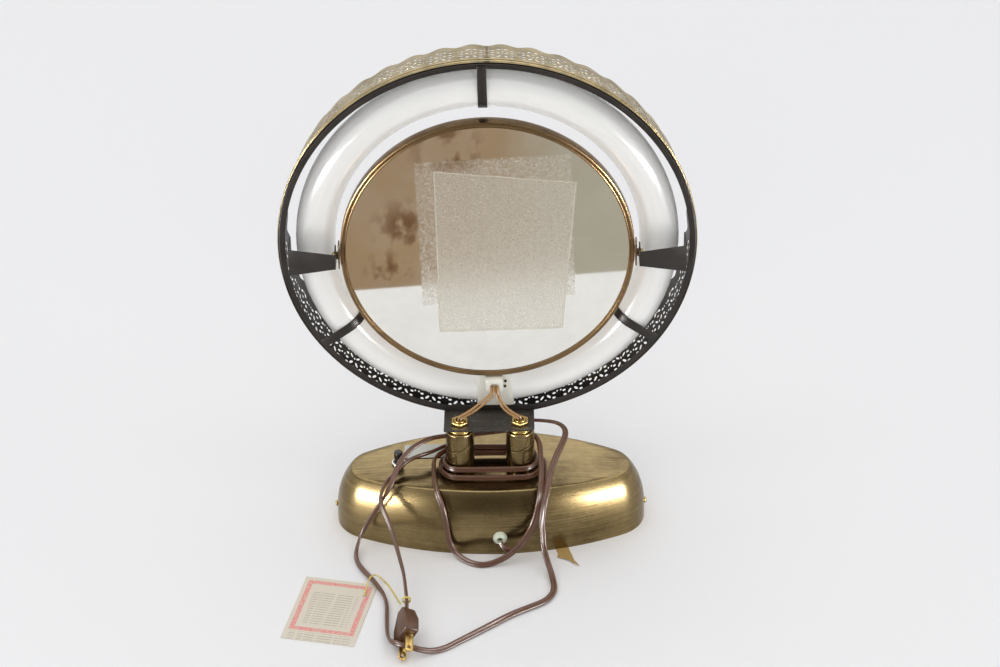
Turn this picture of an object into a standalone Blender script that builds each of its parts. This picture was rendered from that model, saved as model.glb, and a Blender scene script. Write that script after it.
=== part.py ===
"""Lighted vanity mirror with a ring lamp, on a brass base.

Frame: metres, +Z up, origin on the floor under the middle of the base, X across the
mirror, the rear of the appliance (its cord and leads) towards -Y.
"""
import math

import bmesh
import bpy
from mathutils import Matrix, Vector

MM = 0.001
GAP = 0.3 * MM

# base shell: a lens-shaped plan with round ends, bulging walls and a crowned top
BASE_H = 56 * MM
BASE_TOP = (115.5 * MM, 43.5 * MM, 21 * MM)      # half length, half depth, end radius
BASE_FOOT = (129 * MM, 55 * MM, 33 * MM)
BASE_CROWN = 4 * MM
BASE_SHEET = 1.2 * MM
BASE_UPRIGHT = 12 * MM                           # height of the upright skirt
BASE_SHOULDER = math.radians(30)                 # where the bulge starts at the top edge
COVER_T = 1.6 * MM

# posts and the bracket plate that they carry
POST_X = 24.8 * MM
POST_Y = -12 * MM
POST_R = 11.75 * MM
PLATE_Z = 100.4 * MM
PLATE_T = 1.6 * MM
NIPPLE_R = 4.8 * MM
NIPPLE_BORE_R = 3.3 * MM
NUT_ACROSS = 13 * MM

# hoop, gallery and lamp
RIM_Y = 7 * MM                                   # rear face of the hoop
HOOP_R = 165.5 * MM
HOOP_SQUASH = 0.977                              # the hoop is slightly oval
HOOP_Z = 260.4 * MM
HOOP_T = 0.9 * MM
HOOP_DEPTH = 6.5 * MM
HOOP_LIP = 4.3 * MM
HOOP_SEAT = PLATE_Z + PLATE_T + 0.3 * MM         # the hoop is flat where it sits on the plate
GALLERY_DEPTH = 42.5 * MM
GALLERY_FRONT_R = 161.3 * MM                     # the gallery narrows towards the user
SCALLOPS = 43
SCALLOP_RISE = 5.5 * MM
SCALLOP_PHASE = math.radians(93.7)
LAMP_Z = 257 * MM
LAMP_Y = 24.5 * MM
LAMP_RING_R = 137.5 * MM                         # 306 mm outside, 31.75 mm tube
LAMP_TUBE_R = 15.875 * MM
LAMP_BASE_ANGLE = math.radians(-88.1)
LAMP_GAP_ANGLE = math.radians(6.7)

# mirror, its pivots and arms
PIVOT_Y = 1 * MM
PIVOT_Z = 256.5 * MM
MIRROR_R = 117.3 * MM
MIRROR_Y = (2 * MM, 12.5 * MM)
MIRROR_SHEET = 0.8 * MM
GLASS_T = 2.3 * MM
ARM_Y = -9 * MM
ARM_T = 1.1 * MM
ARM_IN_X = 120.4 * MM
ARM_OUT_X = 157.7 * MM
ARM_IN_HALF = 6.6 * MM
ARM_OUT_HALF = 11.8 * MM

# switch, cord bushing and small parts
BUTTON_AT = (-76.5 * MM, 0.0)
BUTTON_TRAVEL = 3 * MM
BUSHING_AT = (7.3 * MM, 16.6 * MM)               # X and Z on the rear wall
SIDE_SCREW_Z = 14 * MM
CORD_R = 1.95 * MM
LEAD_R = 0.85 * MM
STRING_R = 0.55 * MM

# plug: middle of its front face, way the blades point, way up across the blades
PLUG_AT = Vector((-67.6, -179.5, 13.0)) * MM
PLUG_OUT = Vector((0.0, -0.975, -0.223)).normalized()
PLUG_UP = Vector((0.44, -0.2, 0.875)).normalized()
PLUG_BODY = (27 * MM, 12 * MM, 24.6 * MM)        # length, thickness, width
BLADE = (17.5 * MM, 6.35 * MM, 1.5 * MM)         # free length, width, thickness
BLADE_APART = 12.7 * MM

COLOURS = {
    "brass": ((0.42, 0.34, 0.19), 0.38, 1.0),
    "bright_brass": ((0.62, 0.47, 0.18), 0.28, 1.0),
    "dark_metal": ((0.055, 0.045, 0.04), 0.45, 0.7),
    "lamp_white": ((0.86, 0.85, 0.82), 0.3, 0.0),
    "ivory_plastic": ((0.8, 0.79, 0.7), 0.45, 0.0),
    "mirror_glass": ((0.85, 0.86, 0.85), 0.03, 1.0),
    "mirror_brass": ((0.3, 0.22, 0.12), 0.4, 1.0),
    "black_plastic": ((0.02, 0.02, 0.022), 0.35, 0.0),
    "nickel": ((0.7, 0.68, 0.62), 0.25, 1.0),
    "steel": ((0.5, 0.5, 0.5), 0.4, 1.0),
    "fibreboard": ((0.25, 0.18, 0.12), 0.8, 0.0),
    "brown_vinyl": ((0.17, 0.06, 0.035), 0.35, 0.0),
    "gold_lead": ((0.45, 0.27, 0.1), 0.4, 0.0),
    "paper": ((0.82, 0.78, 0.68), 0.8, 0.0),
    "yellow_string": ((0.8, 0.6, 0.08), 0.8, 0.0),
}


def clear_scene():
    for obj in list(bpy.data.objects):
        bpy.data.objects.remove(obj, do_unlink=True)


def material(name):
    found = bpy.data.materials.get(name)
    if found:
        return found
    colour, roughness, metallic = COLOURS[name]
    made = bpy.data.materials.new(name)
    made.use_nodes = True
    shader = made.node_tree.nodes["Principled BSDF"]
    shader.inputs["Base Color"].default_value = (*colour, 1)
    shader.inputs["Roughness"].default_value = roughness
    shader.inputs["Metallic"].default_value = metallic
    return made


def finish(name, bm, mat, at=(0, 0, 0), turn=None, smooth=True):
    """Turn a bmesh into a named object, its faces pointing out."""
    bmesh.ops.remove_doubles(bm, verts=bm.verts, dist=1e-7)
    bmesh.ops.recalc_face_normals(bm, faces=bm.faces)
    mesh = bpy.data.meshes.new(name)
    bm.to_mesh(mesh)
    bm.free()
    if smooth:
        mesh.shade_smooth()
        mesh.set_sharp_from_angle(angle=math.radians(35))
    obj = bpy.data.objects.new(name, mesh)
    bpy.context.scene.collection.objects.link(obj)
    obj.location = at
    if turn is not None:
        obj.rotation_euler = turn
    mesh.materials.append(material(mat))
    return obj


def loft(rings, closed=False):
    """A skin through rings of equal length; an open loft gets flat end caps."""
    bm = bmesh.new()
    loops = [[bm.verts.new(p) for p in ring] for ring in rings]
    count = len(loops[0])
    pairs = list(zip(loops, loops[1:]))
    if closed:
        pairs.append((loops[-1], loops[0]))
    for low, high in pairs:
        for i in range(count):
            j = (i + 1) % count
            bm.faces.new((low[i], low[j], high[j], high[i]))
    if not closed:
        bm.faces.new(loops[0])
        bm.faces.new(loops[-1])
    return bm


def lathe(profile, steps, axis="Z"):
    """Turn a closed outline of (radius, height) points about an axis."""
    bm = bmesh.new()
    ring = [bm.verts.new((r, 0, h)) for r, h in profile]
    pairs = [(ring[i - 1], ring[i]) for i in range(len(ring))]
    edges = [bm.edges.new(pair) for pair in pairs if pair[0].co.x + pair[1].co.x > 1e-9]
    bmesh.ops.spin(bm, geom=ring + edges, cent=(0, 0, 0), axis=(0, 0, 1),
                   angle=2 * math.pi, steps=steps, use_merge=True)
    bmesh.ops.remove_doubles(bm, verts=bm.verts, dist=1e-7)
    if axis == "Y":
        bmesh.ops.rotate(bm, verts=bm.verts, matrix=Matrix.Rotation(-math.pi / 2, 3, "X"))
    if axis == "X":
        bmesh.ops.rotate(bm, verts=bm.verts, matrix=Matrix.Rotation(math.pi / 2, 3, "Y"))
    return bm


def turned(name, profile, mat, at=(0, 0, 0), steps=32, axis="Z"):
    return finish(name, lathe(profile, steps, axis), mat, at)


def prism(outline, low, high, axis="Z"):
    """Extrude a flat outline between two heights along an axis."""
    spots = {
        "Z": lambda a, b, h: (a, b, h),
        "Y": lambda a, b, h: (a, h, b),
        "X": lambda a, b, h: (h, a, b),
    }[axis]
    return loft([[spots(a, b, h) for a, b in outline] for h in (low, high)])


def box(low, high):
    outline = [(low[0], low[1]), (high[0], low[1]), (high[0], high[1]), (low[0], high[1])]
    return prism(outline, low[2], high[2])


def rod(radius, start, end, sides=20):
    """A round bar between two points."""
    a, b = Vector(start), Vector(end)
    bm = bmesh.new()
    bmesh.ops.create_cone(bm, cap_ends=True, segments=sides, radius1=radius,
                          radius2=radius, depth=(b - a).length)
    turn = (b - a).to_track_quat("Z", "Y").to_matrix()
    bmesh.ops.rotate(bm, verts=bm.verts, matrix=turn)
    bmesh.ops.translate(bm, verts=bm.verts, vec=(a + b) / 2)
    return bm


def cutter(name, bm):
    obj = finish(name, bm, "steel", smooth=False)
    obj.hide_render = True
    obj.display_type = "WIRE"
    return obj


def boolean(obj, other, operation):
    mod = obj.modifiers.new(other.name, "BOOLEAN")
    mod.operation = operation
    mod.object = other


def cut(obj, name, bm):
    boolean(obj, cutter(name, bm), "DIFFERENCE")


def join(obj, name, bm):
    boolean(obj, cutter(name, bm), "UNION")


def hexagon(across, count=24):
    """Points round a hexagon, at even angles, so that they match a circle's."""
    points = []
    for i in range(count):
        angle = 2 * math.pi * i / count
        off = (angle + math.pi / 6) % (math.pi / 3) - math.pi / 6
        r = across / 2 / math.cos(off)
        points.append((r * math.cos(angle), r * math.sin(angle)))
    return points


def hex_nut(name, bore_r, low, high, at, mat):
    outer = hexagon(NUT_ACROSS)
    inner = [(bore_r * math.cos(2 * math.pi * i / 24), bore_r * math.sin(2 * math.pi * i / 24))
             for i in range(24)]
    rings = [[(x, y, low) for x, y in outer], [(x, y, high) for x, y in outer],
             [(x, y, high) for x, y in inner], [(x, y, low) for x, y in inner]]
    return finish(name, loft(rings, closed=True), mat, at, smooth=False)


def smooth_route(route, spacing):
    """Points at even steps along a smooth curve through the route's points."""
    pts = [Vector(p) * MM for p in route]
    ends = [2 * pts[0] - pts[1]] + pts + [2 * pts[-1] - pts[-2]]
    fine = []
    for a, b, c, d in zip(ends, ends[1:], ends[2:], ends[3:]):
        for i in range(12):
            t = i / 12
            fine.append(0.5 * (2 * b + (c - a) * t + (2 * a - 5 * b + 4 * c - d) * t * t
                               + (3 * b - a - 3 * c + d) * t * t * t))
    fine.append(pts[-1])
    total = sum((q - p).length for p, q in zip(fine, fine[1:]))
    count = max(2, round(total / spacing))
    out = [fine[0]]
    run = 0.0
    for p, q in zip(fine, fine[1:]):
        step = (q - p).length
        while len(out) < count and run + step >= total * len(out) / count:
            out.append(p.lerp(q, (total * len(out) / count - run) / step))
        run += step
    out.append(fine[-1])
    return out


def tube(name, route, radius, spacing, mat):
    return tube_through(name, smooth_route(route, spacing), radius, mat)


def tube_through(name, points, radius, mat):
    curve = bpy.data.curves.new(name, "CURVE")
    curve.dimensions = "3D"
    curve.bevel_depth = radius
    curve.bevel_resolution = 2 if radius > 1 * MM else 1
    curve.use_fill_caps = True
    curve.render_resolution_u = 0
    spline = curve.splines.new("POLY")
    spline.points.add(len(points) - 1)
    for spot, point in zip(spline.points, points):
        spot.co = (*point, 1)
    curve.materials.append(material(mat))
    obj = bpy.data.objects.new(name, curve)
    bpy.context.scene.collection.objects.link(obj)
    return obj


# ---------------------------------------------------------------- base

def lens(half_len, half_dep, end_r, inset=0.0):
    """Plan of the base: two wide arcs joined by round ends."""
    a, b, r = half_len - inset, half_dep - inset, end_r - inset
    wide = ((a - r) ** 2 + b * b - r * r) / (2 * (b - r))
    meet = math.atan2(wide - b, a - r)
    quarter = []
    for i in range(7):
        angle = math.pi / 2 + (meet - math.pi / 2) * i / 7
        quarter.append((wide * math.cos(angle), b - wide + wide * math.sin(angle)))
    for i in range(5):
        angle = meet * (1 - i / 5)
        quarter.append((a - r + r * math.cos(angle), r * math.sin(angle)))
    right_back = quarter + [(a, 0.0)]
    left_back = [(-x, y) for x, y in reversed(right_back[1:])]
    back = left_back + right_back
    front = [(-x, -y) for x, y in back[1:-1]]
    return [*back, *front]


def wall_level(turn):
    """Plan sizes and height of the wall where its bulge has turned by an angle."""
    low, high = math.sin(BASE_SHOULDER), 1.0
    part = (math.sin(turn) - low) / (high - low)
    sizes = [t + (f - t) * part for t, f in zip(BASE_TOP, BASE_FOOT)]
    rise = math.cos(turn) / math.cos(BASE_SHOULDER)
    return sizes, BASE_UPRIGHT + (BASE_H - BASE_UPRIGHT) * rise


def base_z(x):
    """Height of the crowned top at a place along the base."""
    return BASE_H - BASE_CROWN * (x / BASE_TOP[0]) ** 2


def base_rings(inset):
    """Rings from near the middle of the top out to the foot, all inset by the sheet."""
    rings = []
    for share in (0.1, 0.6, 1.0):
        plan = lens(*BASE_TOP, inset=inset)
        rings.append([(x * share, y * share, base_z(x * share) - inset) for x, y in plan])
    for i in range(1, 6):
        turn = BASE_SHOULDER + (math.pi / 2 - BASE_SHOULDER) * i / 5
        sizes, z = wall_level(turn)
        plan = lens(*sizes, inset=inset)
        drop = (z - BASE_UPRIGHT) / (BASE_H - BASE_UPRIGHT)
        rings.append([(x, y, z - drop * (BASE_H - base_z(x * 0.9)) - inset * drop)
                      for x, y in plan])
    rings.append([(x, y, 0.0) for x, y in lens(*BASE_FOOT, inset=inset)])
    return rings


def make_base():
    rings = base_rings(0.0) + list(reversed(base_rings(BASE_SHEET)))
    shell = finish("base_shell", loft(rings), "brass")
    for side, x in (("left", -POST_X), ("right", POST_X)):
        cut(shell, f"hole_{side}", rod(NIPPLE_R + GAP, (x, POST_Y, 45 * MM), (x, POST_Y, 65 * MM)))
    bx, by = BUTTON_AT
    cut(shell, "hole_switch", rod(4.8 * MM, (bx, by, 45 * MM), (bx, by, 65 * MM)))
    cx, cz = BUSHING_AT
    cut(shell, "hole_cord", rod(4.6 * MM, (cx, -65 * MM, cz), (cx, -45 * MM, cz)))
    for side, sign in (("left", -1), ("right", 1)):
        cut(shell, f"hole_side_{side}", rod(1.6 * MM, (sign * 120 * MM, 0, SIDE_SCREW_Z),
                                            (sign * 135 * MM, 0, SIDE_SCREW_Z)))

    half_len, half_dep, end_r = BASE_FOOT
    plan = lens(half_len, half_dep, end_r, inset=BASE_SHEET + GAP)
    cover = finish("bottom_cover", prism(plan, 0.0, COVER_T), "fibreboard")
    for side, sign in (("left", -1), ("right", 1)):
        xs = sorted((sign * 124.2 * MM, sign * 125.4 * MM))
        join(cover, f"tab_{side}", box((xs[0], -6 * MM, 0.8 * MM), (xs[1], 6 * MM, 25 * MM)))
        cut(cover, f"tab_hole_{side}", rod(1.6 * MM, (sign * 122 * MM, 0, SIDE_SCREW_Z),
                                           (sign * 127 * MM, 0, SIDE_SCREW_Z)))
        head = [(0, 0), (1.2 * MM, 0), (1.2 * MM, 6 * MM), (2.8 * MM, 6 * MM),
                (2.6 * MM, 6.9 * MM), (1.6 * MM, 7.6 * MM), (0, 7.8 * MM)]
        screw = turned(f"side_screw_{side}", head, "bright_brass", steps=20, axis="X")
        screw.location = (sign * 123.2 * MM, 0, SIDE_SCREW_Z)
        if sign < 0:
            screw.rotation_euler = (0, 0, math.pi)

    wall_y = -(BASE_FOOT[1] + 0.1 * MM)
    bushing = [(2.7 * MM, -6 * MM), (4.3 * MM, -6 * MM), (4.3 * MM, 0.3 * MM), (6.0 * MM, 0.3 * MM),
               (6.0 * MM, 1.6 * MM), (5.2 * MM, 2.9 * MM), (3.4 * MM, 3.5 * MM), (2.7 * MM, 3.2 * MM)]
    ring = turned("cord_bushing", bushing, "ivory_plastic", steps=28, axis="Y")
    ring.location = (cx, wall_y, cz)
    ring.rotation_euler = (0, 0, math.pi)


def make_ballast():
    y = 12 * MM
    low = COVER_T + GAP
    core = finish("ballast_core", box((-31 * MM, y - 17 * MM, low), (31 * MM, y + 17 * MM, low + 29 * MM)),
                  "steel", smooth=False)
    core.modifiers.new("edge", "BEVEL").width = 0.8 * MM
    top = low + 29 * MM + GAP
    hat = [(-44 * MM, low), (-31.3 * MM, low), (-31.3 * MM, top), (31.3 * MM, top), (31.3 * MM, low),
           (44 * MM, low), (44 * MM, low + 1 * MM), (32.3 * MM, low + 1 * MM),
           (32.3 * MM, top + 1 * MM), (-32.3 * MM, top + 1 * MM), (-32.3 * MM, low + 1 * MM),
           (-44 * MM, low + 1 * MM)]
    finish("ballast_strap", prism(hat, y - 6 * MM, y + 6 * MM, "Y"), "steel", smooth=False)


def make_switch():
    bx, by = BUTTON_AT
    z = base_z(bx)
    body = [(0, 22 * MM), (8.5 * MM, 22 * MM), (9 * MM, 22.5 * MM), (9 * MM, z - BASE_SHEET - 0.8 * MM),
            (4.4 * MM, z - BASE_SHEET - 0.8 * MM), (4.4 * MM, z + 1.9 * MM), (3.0 * MM, z + 1.9 * MM),
            (3.0 * MM, 38 * MM), (0, 38 * MM)]
    turned("switch_body", body, "black_plastic", (bx, by, 0), steps=28)
    collar = [(4.7 * MM, z + 0.5 * MM), (6.1 * MM, z + 0.5 * MM), (6.1 * MM, z + 1.2 * MM),
              (5.5 * MM, z + 2.0 * MM), (4.7 * MM, z + 2.0 * MM)]
    turned("switch_collar", collar, "nickel", (bx, by, 0), steps=28)
    low = z + 2.0 * MM + BUTTON_TRAVEL + GAP
    button = [(0, 42 * MM), (2.5 * MM, 42 * MM), (2.5 * MM, low), (3.7 * MM, low),
              (3.7 * MM, low + 6 * MM), (3.2 * MM, low + 6.6 * MM), (0, low + 6.7 * MM)]
    turned("button_cap", button, "black_plastic", (bx, by, 0), steps=28)


# ---------------------------------------------------------------- posts and plate

def make_posts():
    post_low = BASE_H + GAP
    neck_low = PLATE_Z - 3.3 * MM
    for side, x in (("left", -POST_X), ("right", POST_X)):
        at = (x, POST_Y, 0)
        wall = [(10.6 * MM, post_low), (POST_R, post_low), (POST_R, neck_low - 1.3 * MM),
                (POST_R - 0.5 * MM, neck_low - 0.6 * MM), (10.4 * MM, neck_low - GAP),
                (5.4 * MM, neck_low - GAP), (5.4 * MM, neck_low - 1.5 * MM),
                (10.6 * MM, neck_low - 1.5 * MM)]
        turned(f"post_{side}", wall, "brass", at, steps=40)
        neck = [(5.2 * MM, neck_low), (9.8 * MM, neck_low), (9.8 * MM, neck_low + 1 * MM),
                (9.2 * MM, neck_low + 1.5 * MM), (9.8 * MM, neck_low + 2 * MM),
                (9.8 * MM, PLATE_Z - GAP), (5.2 * MM, PLATE_Z - GAP)]
        turned(f"post_neck_{side}", neck, "bright_brass", at, steps=36)
        pipe = [(NIPPLE_BORE_R, 43 * MM), (NIPPLE_R, 43 * MM), (NIPPLE_R, PLATE_Z + 5.6 * MM),
                (NIPPLE_BORE_R, PLATE_Z + 5.6 * MM)]
        turned(f"nipple_{side}", pipe, "bright_brass", at, steps=24)
        top = PLATE_Z + PLATE_T + GAP
        hex_nut(f"top_nut_{side}", NIPPLE_R + GAP, top, top + 3 * MM, at, "bright_brass")
        under = base_z(x) - BASE_SHEET - 0.5 * MM
        hex_nut(f"base_nut_{side}", NIPPLE_R + GAP, under - 3 * MM, under, at, "steel")


def make_plate():
    near, far = -22.2 * MM, 15 * MM
    outline = [(-37.8 * MM, near), (33.5 * MM, near), (36.6 * MM, near + 3.5 * MM), (36.6 * MM, far),
               (-37.4 * MM, far)]
    plate = finish("bracket_plate", prism(outline, PLATE_Z, PLATE_Z + PLATE_T), "dark_metal", smooth=False)
    for side, x in (("left", -POST_X), ("right", POST_X)):
        cut(plate, f"plate_hole_{side}", rod(NIPPLE_R + GAP, (x, POST_Y, PLATE_Z - 3 * MM),
                                             (x, POST_Y, PLATE_Z + 5 * MM)))


# ---------------------------------------------------------------- hoop, gallery, lamp

def seated(bm, reach):
    """Make a ring slightly oval, and from a radius outwards flat where it sits on the plate."""
    bmesh.ops.scale(bm, verts=bm.verts, vec=(1, 1, HOOP_SQUASH))
    for vert in bm.verts:
        radius = math.hypot(vert.co.x, vert.co.z / HOOP_SQUASH)
        if radius > reach:
            vert.co.z = max(vert.co.z, HOOP_SEAT - HOOP_Z + (HOOP_R - radius) * HOOP_SQUASH)


def make_hoop():
    profile = [(HOOP_R, 0), (HOOP_R, HOOP_DEPTH), (HOOP_R - HOOP_T, HOOP_DEPTH), (HOOP_R - HOOP_T, HOOP_T),
               (HOOP_R - HOOP_LIP, HOOP_T), (HOOP_R - HOOP_LIP, 0)]
    bm = lathe(profile, 96, "Y")
    seated(bm, 0)
    finish("ring_hoop", bm, "dark_metal", (0, RIM_Y, HOOP_Z))

    count = SCALLOPS * 6
    rear_r, straight, thick = HOOP_R + 1.3 * MM, HOOP_DEPTH + 1 * MM, 0.8 * MM
    taper = (rear_r - GALLERY_FRONT_R) / (GALLERY_DEPTH - straight)
    rings = []
    for inset, place in ((0, 0), (0, 1), (0, 2), (thick, 2), (thick, 1), (thick, 0)):
        ring = []
        for i in range(count):
            angle = 2 * math.pi * i / count
            swing = 0.5 + 0.5 * math.cos((angle - SCALLOP_PHASE) * SCALLOPS)
            depth = (0.6 * MM, straight, GALLERY_DEPTH - SCALLOP_RISE * (1 - swing ** 0.8))[place]
            r = rear_r - inset - taper * max(0.0, depth - straight)
            ring.append((r * math.cos(angle), depth, r * math.sin(angle)))
        rings.append(ring)
    bm = loft(rings, closed=True)
    seated(bm, HOOP_R)
    band = finish("gallery_band", bm, "brass", (0, RIM_Y, HOOP_Z))
    cut(band, "plate_notch", box((-39 * MM, 0, PLATE_Z - 6 * MM), (39 * MM, 15.3 * MM, HOOP_SEAT)))


def around_lamp(radius, angle, y):
    """A point at a radius and angle about the lamp's axis."""
    return (radius * math.cos(angle), y, LAMP_Z + radius * math.sin(angle))


def make_lamp():
    rings = []
    sides, steps = 16, 72
    first = LAMP_BASE_ANGLE + LAMP_GAP_ANGLE
    sweep = 2 * math.pi - 2 * LAMP_GAP_ANGLE
    for i in range(steps + 1):
        angle = first + sweep * i / steps
        ring = []
        for j in range(sides):
            turn = 2 * math.pi * j / sides
            ring.append(around_lamp(LAMP_RING_R + LAMP_TUBE_R * math.cos(turn), angle,
                                    LAMP_Y + LAMP_TUBE_R * math.sin(turn)))
        rings.append(ring)
    finish("lamp_tube", loft(rings), "lamp_white")

    rear = RIM_Y + HOOP_T + GAP
    front = LAMP_Y + LAMP_TUBE_R + 1.3 * MM
    turn = LAMP_BASE_ANGLE + math.pi / 2
    sleeve = [(-15.3 * MM, -152.6 * MM), (15.3 * MM, -152.6 * MM), (13.4 * MM, -119.5 * MM),
              (-13.4 * MM, -119.5 * MM)]
    base = finish("lamp_base", prism(sleeve, rear, front, "Y"), "ivory_plastic", (0, 0, LAMP_Z),
                  (0, -turn, 0))
    bevel = base.modifiers.new("edge", "BEVEL")
    bevel.width = 1.6 * MM
    bevel.segments = 2

    block = [(-7.1 * MM, -129.6 * MM), (7.1 * MM, -129.6 * MM), (7.1 * MM, -119.2 * MM),
             (-7.1 * MM, -119.2 * MM)]
    plug = finish("lamp_connector", prism(block, -4 * MM, rear - GAP, "Y"), "ivory_plastic",
                  (0, 0, LAMP_Z), (0, -turn, 0))
    bevel = plug.modifiers.new("edge", "BEVEL")
    bevel.width = 0.9 * MM
    bevel.segments = 2
    mouth = rod(3.7 * MM, around_lamp(125.2 * MM, LAMP_BASE_ANGLE, -6 * MM),
                around_lamp(125.2 * MM, LAMP_BASE_ANGLE, 0.5 * MM))
    cut(plug, "mouth", mouth)
    middle = around_lamp(129 * MM, LAMP_BASE_ANGLE, 0)
    cut(plug, "mouth_slot", box((middle[0] - 3.7 * MM, -6 * MM, middle[2] - 4 * MM),
                                (middle[0] + 3.7 * MM, 0.5 * MM, middle[2] + 3.8 * MM)))
    pocket = around_lamp(124.4 * MM, LAMP_BASE_ANGLE, 0)
    cut(plug, "pin_pocket", box((pocket[0] - 5 * MM, 2 * MM, pocket[2] - 3.6 * MM),
                                (pocket[0] + 5 * MM, 9 * MM, pocket[2] + 3.6 * MM)))
    number = 0
    for dx in (-3.4 * MM, 3.4 * MM):
        for dz in (-2 * MM, 2 * MM):
            number += 1
            spot = (pocket[0] + dx, 0, pocket[2] + dz)
            finish(f"lamp_pin_{number}", rod(1.1 * MM, (spot[0], 2.8 * MM, spot[2]),
                                             (spot[0], rear - GAP, spot[2]), 12), "bright_brass")
    for number, (x, z) in enumerate(((13.2 * MM, 130.4 * MM), (12.8 * MM, 125.4 * MM)), 1):
        head = [(0, 0), (1.3 * MM, 0), (1.2 * MM, 0.7 * MM), (0, 0.9 * MM)]
        screw = turned(f"lamp_base_screw_{number}", head, "dark_metal", steps=14, axis="Y")
        screw.location = (x, rear - GAP, z)
        screw.rotation_euler = (0, 0, math.pi)


def make_clips():
    thick, width = 0.8 * MM, 7.3 * MM
    for name, degrees, start in (("top", 91, 163.5), ("left", 213, 160.3), ("right", 327.8, 160.3)):
        path = [(start * MM, 6.3 * MM), (152 * MM, 6.3 * MM), (145 * MM, 6.7 * MM)]
        reach = LAMP_TUBE_R + 0.9 * MM
        for i in range(8):
            turn = math.radians(4 + 72 * i / 7)
            path.append((LAMP_RING_R - reach * math.sin(turn), LAMP_Y - reach * math.cos(turn)))
        outline = []
        for side in (1, -1):
            row = []
            for i, (r, y) in enumerate(path):
                before = Vector(path[max(i - 1, 0)])
                after = Vector(path[min(i + 1, len(path) - 1)])
                along = (after - before).normalized()
                row.append((r - side * along.y * thick / 2, y + side * along.x * thick / 2))
            outline += row if side == 1 else row[::-1]
        bm = prism(outline, -width / 2, width / 2)
        angle = math.radians(degrees)
        turn = Matrix(((math.cos(angle), 0, -math.sin(angle)), (0, 1, 0),
                       (math.sin(angle), 0, math.cos(angle))))
        bmesh.ops.rotate(bm, verts=bm.verts, matrix=turn)
        finish(f"lamp_clip_{name}", bm, "dark_metal", (0, 0, LAMP_Z))


# ---------------------------------------------------------------- mirror and arms

def make_mirror():
    pivot = bpy.data.objects.new("mirror_pivot", None)
    pivot.location = (0, PIVOT_Y, PIVOT_Z)
    bpy.context.scene.collection.objects.link(pivot)
    rear, front = (y - PIVOT_Y for y in MIRROR_Y)
    lip = 4.7 * MM
    channel = [(MIRROR_R - lip, rear), (MIRROR_R - 1 * MM, rear), (MIRROR_R, rear + 1 * MM),
               (MIRROR_R, front - 1 * MM), (MIRROR_R - 1 * MM, front), (MIRROR_R - lip, front),
               (MIRROR_R - lip, front - MIRROR_SHEET), (MIRROR_R - MIRROR_SHEET, front - MIRROR_SHEET),
               (MIRROR_R - MIRROR_SHEET, rear + MIRROR_SHEET), (MIRROR_R - lip, rear + MIRROR_SHEET)]
    pieces = [turned("mirror_frame", channel, "mirror_brass", steps=96, axis="Y")]
    glass_r = MIRROR_R - MIRROR_SHEET - GAP
    low = rear + MIRROR_SHEET + GAP
    high = front - MIRROR_SHEET - GAP
    discs = (("mirror_glass_rear", low, low + GLASS_T, "mirror_glass"),
             ("mirror_spacer", low + GLASS_T + GAP, high - GLASS_T - GAP, "fibreboard"),
             ("mirror_glass_front", high - GLASS_T, high, "mirror_glass"))
    for name, start, end, mat in discs:
        outline = [(0, start), (glass_r, start), (glass_r, end), (0, end)]
        pieces.append(turned(name, outline, mat, steps=72, axis="Y"))
    for side, sign in (("left", -1), ("right", 1)):
        inner = MIRROR_R + GAP
        plate = [(-4.5 * MM, -9.5 * MM), (-3 * MM, -11 * MM), (5 * MM, -11 * MM), (6.5 * MM, -9.5 * MM),
                 (6.5 * MM, 9.5 * MM), (5 * MM, 11 * MM), (-3 * MM, 11 * MM), (-4.5 * MM, 9.5 * MM)]
        lows = sorted((sign * inner, sign * (inner + 1.1 * MM)))
        ear = finish(f"pivot_ear_{side}", prism(plate, lows[0], lows[1], "X"), "mirror_brass",
                     smooth=False)
        join(ear, f"ear_boss_{side}", rod(3.2 * MM, (sign * (inner + 0.5 * MM), PIVOT_Y, PIVOT_Z),
                                          (sign * (ARM_IN_X - 0.35 * MM), PIVOT_Y, PIVOT_Z), 24))
        cut(ear, f"ear_hole_{side}", rod(1.6 * MM, (sign * (inner - 1 * MM), PIVOT_Y, PIVOT_Z),
                                         (sign * ARM_IN_X, PIVOT_Y, PIVOT_Z)))
        for extra in ("ear_boss", "ear_hole"):
            tool = bpy.data.objects[f"{extra}_{side}"]
            tool.location = (0, -PIVOT_Y, -PIVOT_Z)
            tool.parent = pivot
        pieces.append(ear)
    for piece in pieces:
        piece.parent = pivot


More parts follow.
